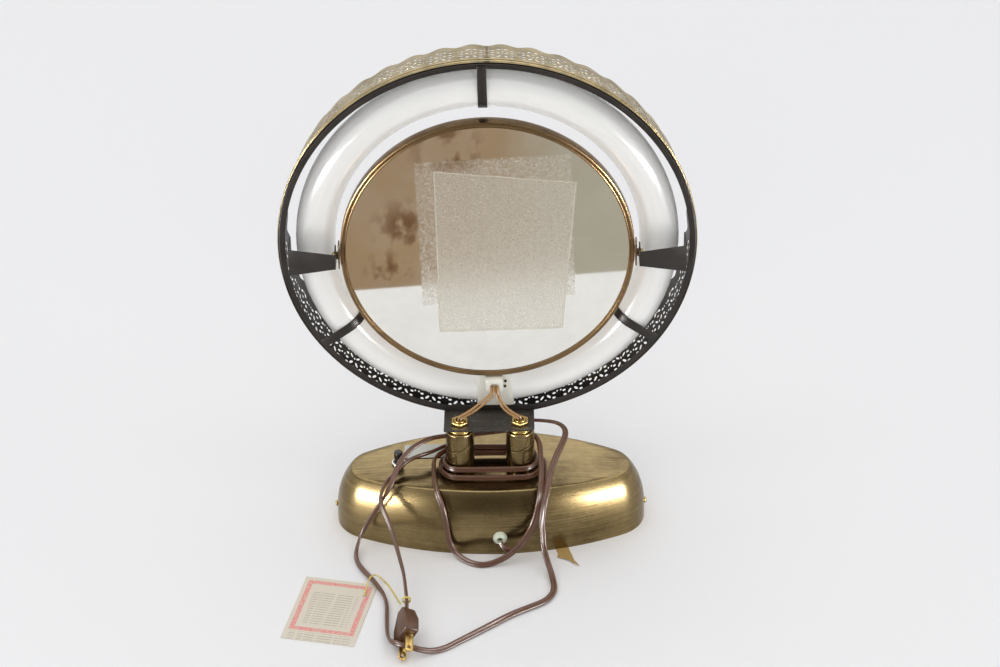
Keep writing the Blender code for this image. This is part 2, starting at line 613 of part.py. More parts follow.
def make_arms():
    for side, sign in (("left", -1), ("right", 1)):
        web = ARM_Y - ARM_T
        outline = [(ARM_IN_X, web), (ARM_OUT_X, web), (ARM_OUT_X, 12 * MM), (ARM_OUT_X - ARM_T, 12 * MM),
                   (ARM_OUT_X - ARM_T, ARM_Y), (ARM_IN_X + ARM_T, ARM_Y), (ARM_IN_X + ARM_T, 6.5 * MM),
                   (ARM_IN_X, 6.5 * MM)]
        if sign < 0:
            outline = [(-x, y) for x, y in outline]
        arm = finish(f"arm_{side}", prism(outline, PIVOT_Z - 16 * MM, PIVOT_Z + 16 * MM), "dark_metal",
                     smooth=False)
        a, b = sign * (ARM_IN_X - 2 * MM), sign * (ARM_IN_X + 1.6 * MM)
        c, d = sign * ARM_OUT_X, sign * (ARM_OUT_X + 2 * MM)
        shape = [(a, PIVOT_Z - ARM_IN_HALF), (b, PIVOT_Z - ARM_IN_HALF), (c, PIVOT_Z - ARM_OUT_HALF),
                 (d, PIVOT_Z - ARM_OUT_HALF), (d, PIVOT_Z + ARM_OUT_HALF), (c, PIVOT_Z + ARM_OUT_HALF),
                 (b, PIVOT_Z + ARM_IN_HALF), (a, PIVOT_Z + ARM_IN_HALF)]
        boolean(arm, cutter(f"arm_shape_{side}", prism(shape, -20 * MM, 20 * MM, "Y")), "INTERSECT")
        cut(arm, f"arm_hole_{side}", rod(1.7 * MM, (sign * (ARM_IN_X - 2 * MM), PIVOT_Y, PIVOT_Z),
                                         (sign * (ARM_IN_X + 3 * MM), PIVOT_Y, PIVOT_Z)))
        shank = 3.4 * MM
        screw = [(0, 0), (1.3 * MM, 0), (1.3 * MM, shank), (3.2 * MM, shank), (3.1 * MM, shank + 1 * MM),
                 (2 * MM, shank + 1.8 * MM), (0, shank + 2 * MM)]
        made = turned(f"pivot_screw_{side}", screw, "bright_brass", steps=20, axis="X")
        made.location = (sign * (ARM_IN_X + ARM_T + GAP - shank), PIVOT_Y, PIVOT_Z)
        if sign < 0:
            made.rotation_euler = (0, 0, math.pi)


# ---------------------------------------------------------------- leads, cord and plug

LEADS = {
    "left_a": ((1.8, -0.6, 131.4), (1.75, -3.4, 130.0), (0.7, -6.2, 127.0), (-4.4, -7.8, 122.6),
               (-11.2, -9.4, 117.0), (-18.6, -10.8, 111.9), (-24.2, -11.6, 108.7), (-25.9, -12, 104.5)),
    "left_b": ((3.6, -2.2, 131.2), (3.6, -4.8, 129.2), (1.9, -6.8, 125.0), (-3.0, -8.0, 120.0),
               (-9.8, -9.4, 114.6), (-16.6, -10.6, 110.2), (-22.0, -11.4, 107.6), (-23.6, -12, 104.3)),
    "right_a": ((5.0, -0.6, 131.2), (5.2, -2.6, 129.0), (6.0, -5.4, 125.6), (7.8, -7.8, 120.6),
                (11.4, -9.6, 114.8), (16.8, -10.8, 110.2), (22.0, -11.6, 107.6), (23.6, -12, 104.3)),
    "right_b": ((6.7, -2.2, 131.3), (6.95, -5.2, 129.2), (8.4, -7.2, 124.8), (11.0, -8.6, 119.4),
                (15.2, -9.6, 114.2), (20.2, -10.8, 110.6), (24.4, -11.6, 108.3), (25.9, -12, 104.8)),
}


def make_leads():
    """Two pairs of lamp leads, from the connector down through the hollow posts."""
    for name, route in LEADS.items():
        x = math.copysign(25.95 if abs(route[-1][0]) > 24.8 else 23.65, route[-1][0])
        down = [(x, -12, z) for z in (98, 66, 41)]
        tube(f"lead_{name}", [*route, *down], LEAD_R, 4.0 * MM, "gold_lead")


CORD_START = ((7.3, -61.2, 16.6), (9, -64.0, 14.5), (12.5, -65.5, 12), (17.5, -65, 10.5), (22, -63.5, 11.5),
              (26.5, -60.5, 15), (31, -58, 20.5), (35, -56, 27.5), (38, -53.5, 34.5), (41, -50.8, 43.5),
              (43, -47.8, 52), (44.8, -41.8, 59), (45.4, -32, 60.3), (45.8, -20, 61), (45.5, -11, 61.5))

CORD_FREE = ((-45.2, -5.6, 65), (-46.8, -12, 64), (-46.8, -22, 61.6), (-46, -33, 60.6), (-45, -41.5, 59),
             (-43, -46.5, 53.5), (-40, -50.3, 46.5), (-38.2, -53, 39), (-37, -54.5, 32), (-36, -55.6, 24.5),
             (-35, -56.4, 17), (-32.6, -57.8, 9.5), (-28, -61, 4.2), (-21, -66.8, 2.6), (-14, -71.6, 2.6),
             (-6, -73, 2.6), (2, -71.2, 3.4), (12, -70, 8.2), (21, -68, 15.5), (28, -64, 23), (33.5, -60.5, 31),
             (37, -58, 41), (39, -56, 51), (40.5, -51.5, 60.5), (41.6, -42, 67), (42, -32, 71.5),
             (41.4, -22, 76), (41, -12, 79.8), (38, -3, 82), (31, 3.5, 83), (21, 5.5, 83), (9, 5, 82),
             (-4, 4.2, 80.8), (-17, 4, 79.8), (-28, 3.8, 79.4), (-36, 3, 79.2), (-43, 1, 80),
             (-50, -3, 80.8), (-57, -8, 80.5), (-64, -13, 79), (-69, -18, 76.4), (-74, -23.5, 73),
             (-77.5, -31, 68.5), (-80.5, -37.5, 63.5), (-84, -42.5, 57), (-91, -44.5, 45.5), (-98.6, -44, 31.5),
             (-104.6, -43.6, 20), (-108.4, -45.6, 12), (-111, -50.6, 6.4), (-112, -58, 3.7),
             (-110.6, -67, 3.4), (-107, -76, 3.6),
             (-100, -88, 4), (-93, -100, 4), (-87, -113, 3.4), (-84.5, -126, 3.2), (-84, -141, 3.4),
             (-83.4, -157, 4.8), (-82.2, -170, 7), (-79, -180.4, 9.8), (-73, -185.6, 12),
             (-66, -187.2, 10.6), (-58, -187, 7.6), (-50, -185.2, 4.2), (-43, -182.6, 2.7), (-36, -179.4, 2.6), (-28, -173, 2.6),
             (-15, -163, 2.6), (0, -151, 2.6), (15, -139, 2.6), (31, -129, 2.6), (41, -123, 2.6),
             (48, -115, 2.6), (51, -105, 2.6), (50, -94, 3.5), (48, -84, 6), (45, -77, 12), (43, -71.5, 20),
             (42.5, -67.5, 28.5), (42, -64.5, 36.5), (42.5, -61.5, 44), (44, -57, 53), (46.5, -50, 62),
             (49, -40, 70), (53, -31, 78), (57.5, -22, 83.5), (61, -14.5, 87), (62.6, -7, 89.2), (60.2, 0, 90.4),
             (54, 4.6, 90.9), (45.5, 6.8, 90.9), (36, 8.8, 90.3), (25, 10.8, 88.2), (12, 11.4, 84), (-2, 11.2, 79),
             (-15, 10.8, 73.6), (-26, 10, 69.6), (-35, 8, 67.2), (-42.5, 4, 66), (-50, -1.5, 66),
             (-57, -6, 66.5), (-64, -8.5, 65.3), (-69.5, -11, 63.3), (-74, -15.5, 61.2), (-79, -22, 59.6),
             (-84, -29.5, 58.8), (-87.5, -36.5, 58), (-89.5, -43.5, 56), (-90.5, -49, 52.5),
             (-89, -54, 48), (-85.8, -58.8, 43), (-82.5, -64.5, 37.5), (-80, -70.5, 31.5),
             (-77, -78.5, 25.5), (-74, -89.5, 20.5), (-71, -103, 17), (-69.2, -120, 16.2),
             (-67.8, -137, 17.2), (-67.6, -151.6, 19))
CORD_SPLITS = (0.0, 0.27, 0.67, 1.0)             # where the free cord is cut into its pieces

TAG_STRING = ((-103, -111, 2.0), (-102, -105, 3.4), (-100.4, -99, 6.4), (-98, -93.4, 8), (-94, -89, 5.4),
              (-88.6, -90.6, 2.0), (-83.4, -98, 0.9), (-79.6, -107, 0.9), (-76.4, -116, 2.2),
              (-74.2, -126, 6.2), (-72.6, -134, 11.2))


def make_cord():
    tube("cord_start", CORD_START, CORD_R, 8 * MM, "brown_vinyl")
    points = smooth_route(CORD_FREE, 8 * MM)
    cuts = [round(share * (len(points) - 1)) for share in CORD_SPLITS]
    for number, (first, last) in enumerate(zip(cuts, cuts[1:]), 1):
        part = points[first:last + 1]
        part[0] = part[0] + (part[1] - part[0]).normalized() * GAP
        part[-1] = part[-1] + (part[-2] - part[-1]).normalized() * GAP
        tube_through(f"cord_free_{number}", part, CORD_R, "brown_vinyl")
    tube("tag_string", TAG_STRING, STRING_R, 2.4 * MM, "yellow_string")

    rings = []
    inner = POST_R + 0.6 * MM
    outer = POST_R + 7.0 * MM
    low, high = BASE_H + 0.6 * MM, BASE_H + 12.6 * MM
    for r, z in ((inner, low), (outer, low), (outer, high), (inner, high)):
        ring = []
        for sign in (1, -1):
            for i in range(15):
                angle = -math.pi / 2 + math.pi * i / 14
                ring.append((sign * (POST_X + r * math.cos(angle)), POST_Y + sign * r * math.sin(angle), z))
        rings.append(ring)
    finish("cord_winding", loft(rings, closed=True), "brown_vinyl")


def plug_matrix():
    side = PLUG_UP.cross(PLUG_OUT)
    turn = Matrix((PLUG_OUT, side, PLUG_UP)).transposed()
    return Matrix.Translation(PLUG_AT) @ turn.to_4x4()


def make_plug():
    place = plug_matrix()
    length, thick, width = PLUG_BODY
    outline = [(0, -width / 2), (0, width / 2), (-length * 0.45, width / 2), (-length * 0.85, 6.5 * MM),
               (-length, 4.5 * MM), (-length, -4.5 * MM), (-length * 0.85, -6.5 * MM),
               (-length * 0.45, -width / 2)]
    body = finish("plug_body", prism(outline, -thick / 2, thick / 2, "Y"), "brown_vinyl")
    bevel = body.modifiers.new("edge", "BEVEL")
    bevel.width = 1.6 * MM
    bevel.segments = 2
    body.matrix_world = place
    for name, sign in (("upper", 1), ("lower", -1)):
        free, wide, flat = BLADE
        z = sign * BLADE_APART / 2
        shape = [(GAP, -wide / 2), (free - 1.6 * MM, -wide / 2), (free, -1.4 * MM), (free, 1.4 * MM),
                 (free - 1.6 * MM, wide / 2), (GAP, wide / 2)]
        blade = finish(f"plug_blade_{name}", prism(shape, z - flat / 2, z + flat / 2), "bright_brass",
                       smooth=False)
        hole = cutter(f"blade_hole_{name}", rod(1.6 * MM, (free - 4.2 * MM, 0, z - 2 * MM),
                                                (free - 4.2 * MM, 0, z + 2 * MM), 14))
        blade.matrix_world = place
        hole.matrix_world = place
        boolean(blade, hole, "DIFFERENCE")


def make_papers():
    tag = finish("hang_tag", box((-30 * MM, -40 * MM, 0), (30 * MM, 40 * MM, 0.8 * MM)), "paper",
                 (-130.5 * MM, -129 * MM, 0.2 * MM), (0, 0, math.radians(-12)), smooth=False)
    cut(tag, "tag_hole", rod(1.6 * MM, (-103 * MM, -111 * MM, -2 * MM), (-103 * MM, -111 * MM, 4 * MM)))
    tilt = math.atan2(base_z(38 * MM) - base_z(72 * MM), 34 * MM)
    finish("blank_label", box((-17.5 * MM, -9.5 * MM, 0), (17.5 * MM, 9.5 * MM, 0.3 * MM)), "paper",
           (-54.6 * MM, 15 * MM, base_z(54.6 * MM) + 0.45 * MM), (0, -tilt, 0), smooth=False)


def main():
    clear_scene()
    make_base()
    make_ballast()
    make_switch()
    make_posts()
    make_plate()
    make_hoop()
    make_lamp()
    make_clips()
    make_mirror()
    make_arms()
    make_leads()
    make_cord()
    make_plug()
    make_papers()
    bpy.context.view_layer.update()


main()
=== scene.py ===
"""The looks of a lighted vanity mirror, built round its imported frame.

Laid out as an add-on: sizes and colours are properties, and each group of pieces and the
stage is an operator. Run as a script, it makes the whole mirror on a pale floor.
"""
import math

import bmesh
import bpy
from mathutils import Matrix, Vector, noise


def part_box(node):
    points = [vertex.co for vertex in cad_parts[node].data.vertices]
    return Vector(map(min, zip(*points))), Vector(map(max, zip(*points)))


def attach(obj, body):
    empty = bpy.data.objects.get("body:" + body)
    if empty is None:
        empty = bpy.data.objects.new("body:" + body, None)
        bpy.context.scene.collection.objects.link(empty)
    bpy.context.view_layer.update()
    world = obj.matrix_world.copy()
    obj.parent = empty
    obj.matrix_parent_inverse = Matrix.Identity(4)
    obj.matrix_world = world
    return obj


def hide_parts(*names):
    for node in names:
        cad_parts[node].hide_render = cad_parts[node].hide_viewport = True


bl_info = {
    "name": "Vanity Mirror Looks",
    "version": (1, 0, 0),
    "blender": (4, 5, 0),
    "location": "3D View > Sidebar > Mirror",
    "description": "Finished surfaces, cord and studio for a lighted vanity mirror",
    "category": "Object",
}

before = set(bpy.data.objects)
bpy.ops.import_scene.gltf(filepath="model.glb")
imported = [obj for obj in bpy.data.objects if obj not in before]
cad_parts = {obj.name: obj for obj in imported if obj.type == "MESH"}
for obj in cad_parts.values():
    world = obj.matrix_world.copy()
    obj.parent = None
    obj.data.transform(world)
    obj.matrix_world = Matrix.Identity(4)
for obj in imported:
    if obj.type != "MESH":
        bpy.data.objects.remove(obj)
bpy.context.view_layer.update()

MM = 0.001
FULL_TURN = 2 * math.pi

# places read from the frame
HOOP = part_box("ring_hoop")
HOOP_R = HOOP[1][0]
HOOP_SQUASH = 0.977              # the hoop is slightly oval
HOOP_CENTRE = Vector((0, HOOP[0][1], HOOP[1][2] - HOOP_R * HOOP_SQUASH))
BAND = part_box("gallery_band")
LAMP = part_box("lamp_tube")
LAMP_TUBE_R = (LAMP[1][1] - LAMP[0][1]) / 2
LAMP_RING_R = LAMP[1][0] - LAMP_TUBE_R
LAMP_CENTRE = Vector((0, (LAMP[0][1] + LAMP[1][1]) / 2, LAMP[1][2] - LAMP[1][0]))
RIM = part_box("mirror_frame")
MIRROR_R = RIM[1][0]
MIRROR_CENTRE = Vector((0, RIM[0][1], (RIM[0][2] + RIM[1][2]) / 2))
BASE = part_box("base_shell")
BASE_H = BASE[1][2]
POSTS = {side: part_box(f"post_{side}") for side in ("left", "right")}
POST_R = (POSTS["left"][1][0] - POSTS["left"][0][0]) / 2
POST_X = (POSTS["right"][0][0] + POSTS["right"][1][0]) / 2
POST_Y = (POSTS["right"][0][1] + POSTS["right"][1][1]) / 2
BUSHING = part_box("cord_bushing")
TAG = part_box("hang_tag")


# ---------------------------------------------------------------- properties

def length_prop(name, default_mm, description):
    return bpy.props.FloatProperty(name=name, description=description, default=default_mm * MM,
                                   unit="LENGTH", precision=5)


def colour_prop(name, colour, description):
    return bpy.props.FloatVectorProperty(name=name, description=description, default=colour,
                                         subtype="COLOR", size=3, min=0, max=1)


class MIRROR_PG_metal(bpy.types.PropertyGroup):
    brass: colour_prop("Brass", (0.28, 0.21, 0.10), "Antique brass where it is clean")
    patina: colour_prop("Patina", (0.085, 0.058, 0.025), "Antique brass where it has darkened")
    gallery: colour_prop("Gallery brass", (0.50, 0.40, 0.22), "Outside of the pierced gallery")
    bronze: colour_prop("Bronze", (0.030, 0.024, 0.021), "Dark hoop, arms and bracket")
    rim: colour_prop("Mirror rim", (0.26, 0.17, 0.085), "Darkened brass round the glass")
    bright: colour_prop("Bright brass", (0.62, 0.43, 0.15), "Nuts, necks and screws")
    groove: length_prop("Groove width", 0.9, "Width of the helical groove round the posts")
    groove_pitch: length_prop("Groove pitch", 22, "Rise of that groove in one turn")


class MIRROR_PG_cord(bpy.types.PropertyGroup):
    width: length_prop("Cord width", 5.2, "Across both conductors of the flat twin cord")
    thickness: length_prop("Cord thickness", 2.7, "Through one conductor")
    vinyl: colour_prop("Vinyl", (0.118, 0.042, 0.016), "Reddish-brown cord")
    plug: colour_prop("Plug", (0.110, 0.042, 0.015), "Moulded plug")
    lead: colour_prop("Leads", (0.50, 0.27, 0.085), "Gold-brown lamp leads")
    string: colour_prop("String", (0.88, 0.70, 0.12), "String of the card")


class MIRROR_PG_lamp(bpy.types.PropertyGroup):
    phosphor: colour_prop("Tube", (0.86, 0.855, 0.83), "Unlit fluorescent tube")
    ivory: colour_prop("Ivory", (0.84, 0.83, 0.74), "Lamp base and connector")


class MIRROR_PG_paper(bpy.types.PropertyGroup):
    card: colour_prop("Card", (0.73, 0.67, 0.56), "Card on the string")
    border: colour_prop("Border", (0.78, 0.27, 0.25), "Printed border of the card")
    label: colour_prop("Label", (0.66, 0.68, 0.62), "Label on the base")
    scrap: colour_prop("Scrap", (0.55, 0.36, 0.12), "Torn paper under the base")


class MIRROR_PG_stage(bpy.types.PropertyGroup):
    floor: colour_prop("Floor", (0.87, 0.87, 0.88), "Studio floor")
    focal: bpy.props.FloatProperty(name="Focal length", description="Of the camera's lens, in mm",
                                   default=99.4)
    pitch: bpy.props.FloatProperty(name="Pitch", description="How far the camera looks down",
                                   default=math.radians(32.7), subtype="ANGLE")
    roll: bpy.props.FloatProperty(name="Roll", description="How far the camera leans",
                                  default=math.radians(-0.65), subtype="ANGLE")
    place: bpy.props.FloatVectorProperty(name="Camera place", description="Where the camera stands",
                                         default=(0.0092, -1.8806, 1.3890), subtype="TRANSLATION")


def settings(context, name):
    return getattr(context.scene, f"mirror_{name}")


# ---------------------------------------------------------------- shader graphs

class Graph:
    """Short calls for adding nodes to a tree and wiring them."""

    def __init__(self, tree):
        self.tree = tree

    def node(self, kind, inputs=(), **options):
        made = self.tree.nodes.new(kind)
        for key, value in options.items():
            setattr(made, key, value)
        for key, value in dict(inputs).items():
            self.put(made.inputs[key], value)
        return made

    def put(self, socket, value):
        if isinstance(value, bpy.types.NodeSocket):
            self.tree.links.new(value, socket)
        elif socket.type == "RGBA" and len(value) == 3:
            socket.default_value = (*value, 1)
        else:
            socket.default_value = value

    def math(self, operation, a, b=0.0, clamp=False):
        return self.node("ShaderNodeMath", {0: a, 1: b}, operation=operation, use_clamp=clamp).outputs[0]

    def vector(self, operation, a, b=(0, 0, 0)):
        made = self.node("ShaderNodeVectorMath", {0: a, 1: b}, operation=operation)
        return made.outputs["Value" if operation in ("DOT_PRODUCT", "LENGTH") else "Vector"]

    def ramp(self, value, low, high):
        """Map low..high to 0..1, clamped and smooth."""
        return self.node("ShaderNodeMapRange", {"Value": value, "From Min": low, "From Max": high},
                         interpolation_type="SMOOTHSTEP").outputs[0]

    def mix(self, share, a, b):
        return self.node("ShaderNodeMix", {0: share, 6: a, 7: b}, data_type="RGBA").outputs[2]

    def product(self, first, *others):
        for other in others:
            first = self.math("MULTIPLY", first, other)
        return first

    def largest(self, first, *others):
        for other in others:
            first = self.math("MAXIMUM", first, other)
        return first

    def parts(self, vector):
        return self.node("ShaderNodeSeparateXYZ", {0: vector}).outputs

    def blend(self, share, a, b):
        return self.node("ShaderNodeMix", {0: share, 2: a, 3: b}, data_type="FLOAT").outputs[0]

    def noise(self, where, scale, detail=3.0, rough=0.5):
        return self.node("ShaderNodeTexNoise", {"Vector": where, "Scale": scale, "Detail": detail,
                                                "Roughness": rough}).outputs["Fac"]

    def group(self, name, inputs):
        return self.node("ShaderNodeGroup", inputs, node_tree=bpy.data.node_groups[name]).outputs


SOCKETS = {"F": "NodeSocketFloat", "V": "NodeSocketVector", "C": "NodeSocketColor"}


def make_group(name, inputs, outputs, build):
    """A shader node group; inputs and outputs map socket names to F, V or C."""
    tree = bpy.data.node_groups.new(name, "ShaderNodeTree")
    for names, way in ((inputs, "INPUT"), (outputs, "OUTPUT")):
        for key, kind in names.items():
            tree.interface.new_socket(key, in_out=way, socket_type=SOCKETS[kind])
    graph = Graph(tree)
    entry = graph.node("NodeGroupInput")
    leave = graph.node("NodeGroupOutput")
    for key, value in build(graph, entry.outputs).items():
        graph.put(leave.inputs[key], value)


def build_brushed(g, given):
    """Fine parallel scratches that run along X, on walls and on flat tops."""
    normal = g.node("ShaderNodeTexCoord").outputs["Normal"]
    up = g.math("ABSOLUTE", g.vector("DOT_PRODUCT", normal, (0, 0, 1)))
    top = g.ramp(up, 0.80, 0.95)
    wall_at = g.vector("MULTIPLY", given["Place"], (14, 14, 1500))
    top_at = g.vector("MULTIPLY", given["Place"], (14, 1500, 14))
    lines = g.blend(top, g.noise(wall_at, 1.0, 3.0, 0.6), g.noise(top_at, 1.0, 3.0, 0.6))
    return {"Lines": lines}


def build_patina(g, given):
    """Dark cloudy tarnish, stronger where Amount is higher."""
    wide = g.noise(given["Place"], given["Scale"], 4.0, 0.55)
    fine = g.noise(given["Place"], g.product(given["Scale"], 12.0), 4.0, 0.6)
    both = g.math("ADD", g.product(wide, 0.75), g.product(fine, 0.25))
    edge = g.math("SUBTRACT", 1.0, given["Amount"])
    return {"Mask": g.ramp(both, g.math("SUBTRACT", edge, 0.30), g.math("ADD", edge, 0.30))}


def build_dust(g, given):
    """Pale specks and a little haze on upward faces."""
    normal = g.node("ShaderNodeTexCoord").outputs["Normal"]
    up = g.ramp(g.vector("DOT_PRODUCT", normal, (0, 0, 1)), 0.2, 1.0)
    specks = g.ramp(g.noise(given["Place"], 900.0, 2.0, 0.6), 0.66, 0.74)
    haze = g.noise(given["Place"], 30.0, 4.0, 0.6)
    mask = g.math("ADD", g.product(specks, 0.5), g.product(haze, 0.25))
    return {"Mask": g.math("MULTIPLY", g.product(mask, up), given["Amount"], clamp=True)}


def build_rectangle(g, given):
    """Distance outside a rectangle, from its own centred coordinates."""
    parts = g.parts(given["Place"])
    across = g.math("SUBTRACT", g.math("ABSOLUTE", parts[0]), given["Half Width"])
    along = g.math("SUBTRACT", g.math("ABSOLUTE", parts[1]), given["Half Height"])
    return {"Distance": g.largest(across, along)}


def build_edge(g, given):
    """Distance outside a straight edge on the glass, from a point and the way out."""
    away = g.vector("SUBTRACT", given["Place"], given["Point"])
    return {"Distance": g.vector("DOT_PRODUCT", away, g.vector("NORMALIZE", given["Out"]))}


def make_groups():
    make_group("Brushed", {"Place": "V"}, {"Lines": "F"}, build_brushed)
    make_group("Patina", {"Place": "V", "Scale": "F", "Amount": "F"}, {"Mask": "F"}, build_patina)
    make_group("Dust", {"Place": "V", "Amount": "F"}, {"Mask": "F"}, build_dust)
    make_group("Rectangle", {"Place": "V", "Half Width": "F", "Half Height": "F"}, {"Distance": "F"},
               build_rectangle)
    make_group("Edge", {"Place": "V", "Point": "V", "Out": "V"}, {"Distance": "F"}, build_edge)


def material(name, build, **constants):
    """A Principled material; constants go straight on the shader's sockets."""
    made = bpy.data.materials.new(name)
    made.use_nodes = True
    graph = Graph(made.node_tree)
    shader = made.node_tree.nodes["Principled BSDF"]
    for key, value in constants.items():
        graph.put(shader.inputs[key.replace("_", " ")], value)
    place = graph.node("ShaderNodeTexCoord").outputs["Object"]
    for key, value in build(graph, place).items():
        graph.put(shader.inputs[key], value)
    return made


def dimmed(colour, share):
    return tuple(channel * share for channel in colour)


def bump(g, height, strength, distance):
    return g.node("ShaderNodeBump", {"Height": height, "Strength": strength,
                                     "Distance": distance}).outputs["Normal"]


def brass_material(name, clean, dark, amount, rough=(0.30, 0.46), lines=0.25, scale=16.0, streak=1.6):
    """Brushed antique brass with cloudy patina; a groove attribute darkens it."""
    def build(g, place):
        scratch = g.group("Brushed", {"Place": place})["Lines"]
        tarnish = g.group("Patina", {"Place": place, "Scale": scale, "Amount": amount})["Mask"]
        streaks = g.product(g.math("SUBTRACT", scratch, 0.5), streak)
        shade = g.math("ADD", tarnish, streaks, clamp=True)
        groove = g.node("ShaderNodeAttribute", attribute_name="groove").outputs["Fac"]
        worn = g.mix(shade, clean, dark)
        return {"Base Color": g.mix(g.product(groove, 0.9), worn, (0.02, 0.015, 0.01)),
                "Roughness": g.blend(shade, rough[0], rough[1]),
                "Normal": bump(g, scratch, lines, 0.00006)}
    return material(name, build, Metallic=1.0)


def dark_material(name, colour, worn, green=0.0):
    """Bronzed sheet metal, a little worn and dusty, with some verdigris."""
    def build(g, place):
        patches = g.group("Patina", {"Place": place, "Scale": 45.0, "Amount": 0.42})["Mask"]
        grain = g.noise(place, 1400.0, 2.0, 0.5)
        dust = g.group("Dust", {"Place": place, "Amount": 0.5})["Mask"]
        crust = g.ramp(g.noise(place, 260.0, 4.0, 0.65), 0.55, 0.68)
        base = g.mix(g.product(patches, 0.55), colour, worn)
        dusty = g.mix(dust, base, (0.12, 0.105, 0.085))
        return {"Base Color": g.mix(g.product(crust, green), dusty, (0.10, 0.16, 0.11)),
                "Roughness": g.blend(patches, 0.36, 0.52),
                "Normal": bump(g, grain, 0.25, 0.00005)}
    return material(name, build, Metallic=0.35)


def plain_material(name, colour, rough, metallic=0.0, vary=0.15, scale=60.0, coat=0.0, grain=0.1):
    """A moulded or turned finish with slight blotches and grain."""
    def build(g, place):
        cloud = g.noise(place, scale, 4.0, 0.55)
        fine = g.noise(place, 1800.0, 2.0, 0.5)
        return {"Base Color": g.mix(cloud, colour, dimmed(colour, 1 - 2 * vary)),
                "Roughness": g.blend(cloud, rough * 0.85, rough * 1.2),
                "Normal": bump(g, fine, grain, 0.00004)}
    return material(name, build, Metallic=metallic, Coat_Weight=coat)


def gallery_material(name, outside, inside):
    """Brass outside and dark bronze inside, by which way the face points."""
    def build(g, place):
        normal = g.node("ShaderNodeTexCoord").outputs["Normal"]
        away = g.vector("SUBTRACT", place, tuple(HOOP_CENTRE))
        out = g.vector("NORMALIZE", g.vector("MULTIPLY", away, (1, 0, 1)))
        facing = g.ramp(g.vector("DOT_PRODUCT", normal, out), -0.35, 0.35)
        tarnish = g.group("Patina", {"Place": place, "Scale": 60.0, "Amount": 0.46})["Mask"]
        green = g.ramp(g.noise(place, 240.0, 3.0, 0.6), 0.56, 0.70)
        brass = g.mix(tarnish, outside, dimmed(outside, 0.32))
        aged = g.mix(g.product(green, 0.5), brass, (0.10, 0.20, 0.17))
        return {"Base Color": g.mix(facing, inside, aged),
                "Roughness": g.blend(tarnish, 0.28, 0.5),
                "Metallic": g.blend(green, 1.0, 0.6)}
    return material(name, build)


def tube_material(name, colour):
    """Phosphor-white glass: a chalky body under a glossy skin, with a faint painted glow in its own tone
    that brightens the unlit tube.
    """
    def build(g, place):
        cloud = g.noise(place, 12.0, 3.0, 0.5)
        shade = g.mix(cloud, colour, dimmed(colour, 0.955))
        return {"Base Color": shade, "Emission Color": shade}
    # the same tone is also emitted faintly: painted light that brightens the unlit tube in the shade of the
    # ring
    return material(name, build, Roughness=0.16, Coat_Weight=0.35, Coat_Roughness=0.08,
                    Emission_Strength=0.08)


# corners of the two paste marks, (x, z) in mm, clockwise from the upper left
PASTE_CORNERS = {
    "main": ((-41.7, 330.9), (70.9, 319.9), (60.1, 184.3), (-39.7, 181.8)),
    "under": ((-56.9, 338.6), (66.2, 345.0), (70.0, 216.1), (-52.3, 207.8)),
}


def aged_mirror_material(name):
    """Silvered glass with two sheets' worth of old speckled paste, stains and smears."""
    def build(g, place):
        def spot(x, z, low, high):
            """1 within low mm of a point on the glass, 0 beyond high mm."""
            away = g.vector("MULTIPLY", g.vector("SUBTRACT", place, (x * MM, 0, z * MM)), (1, 0, 1))
            return g.ramp(g.vector("LENGTH", away), high * MM, low * MM)

        def sheet(which, rag):
            """Distance outside a paste mark, whose edge wanders by about rag."""
            corners = PASTE_CORNERS[which]
            edges = []
            for (x0, z0), (x1, z1) in zip(corners, corners[1:] + corners[:1]):
                given = {"Place": place, "Point": (x0 * MM, 0, z0 * MM), "Out": (z0 - z1, 0, x1 - x0)}
                edges.append(g.group("Edge", given)["Distance"])
            ragged = g.product(g.math("SUBTRACT", g.noise(place, 150.0, 4.0, 0.7), 0.5), rag)
            return g.math("ADD", g.largest(*edges), ragged)

        speck = g.ramp(g.noise(place, 900.0, 3.0, 0.7), 0.30, 0.70)
        coarse = g.ramp(g.noise(place, 420.0, 4.0, 0.75), 0.35, 0.65)
        main = sheet("main", 0.0016)
        under = sheet("under", 0.0030)
        inside = g.ramp(main, 0.0006, -0.0006)
        behind = g.ramp(under, 0.0008, -0.0008)
        rim = g.product(inside, g.ramp(main, -0.0024, -0.0008))
        film = g.largest(g.product(inside, g.blend(speck, 0.20, 0.46)),
                         g.product(behind, g.blend(coarse, 0.08, 0.34)), g.product(rim, 0.55))
        worn = g.largest(spot(-22, 308, 6, 52), g.product(spot(44, 306, 4, 30), 0.6))
        grit = g.ramp(g.noise(place, 620.0, 3.0, 0.75), 0.53, 0.60)
        pits = g.product(g.product(grit, worn), g.product(g.largest(inside, behind), 0.75))
        left = g.largest(spot(-66, 280, 4, 34), spot(-30, 352, 4, 40), spot(-78, 240, 4, 26))
        blots = g.ramp(g.noise(g.vector("MULTIPLY", place, (1, 1, 0.7)), 62.0, 3.0, 0.45), 0.46, 0.60)
        stain = g.math("MULTIPLY", g.product(blots, left), g.math("SUBTRACT", 0.85, inside), clamp=True)
        haze = g.product(g.ramp(g.noise(place, 22.0, 4.0, 0.6), 0.35, 0.75), 0.10)
        cover = g.largest(film, pits, haze)
        pale = g.mix(g.noise(place, 700.0, 2.0, 0.6), (0.62, 0.54, 0.36), (0.42, 0.36, 0.23))
        pitted = g.mix(pits, pale, (0.17, 0.13, 0.11))
        glass = g.mix(stain, (0.90, 0.89, 0.84), (0.34, 0.20, 0.11))
        return {"Base Color": g.mix(cover, glass, pitted),
                "Metallic": g.math("SUBTRACT", 1.0, cover),
                "Roughness": g.blend(g.largest(film, pits), 0.03, 0.5)}
    return material(name, build)


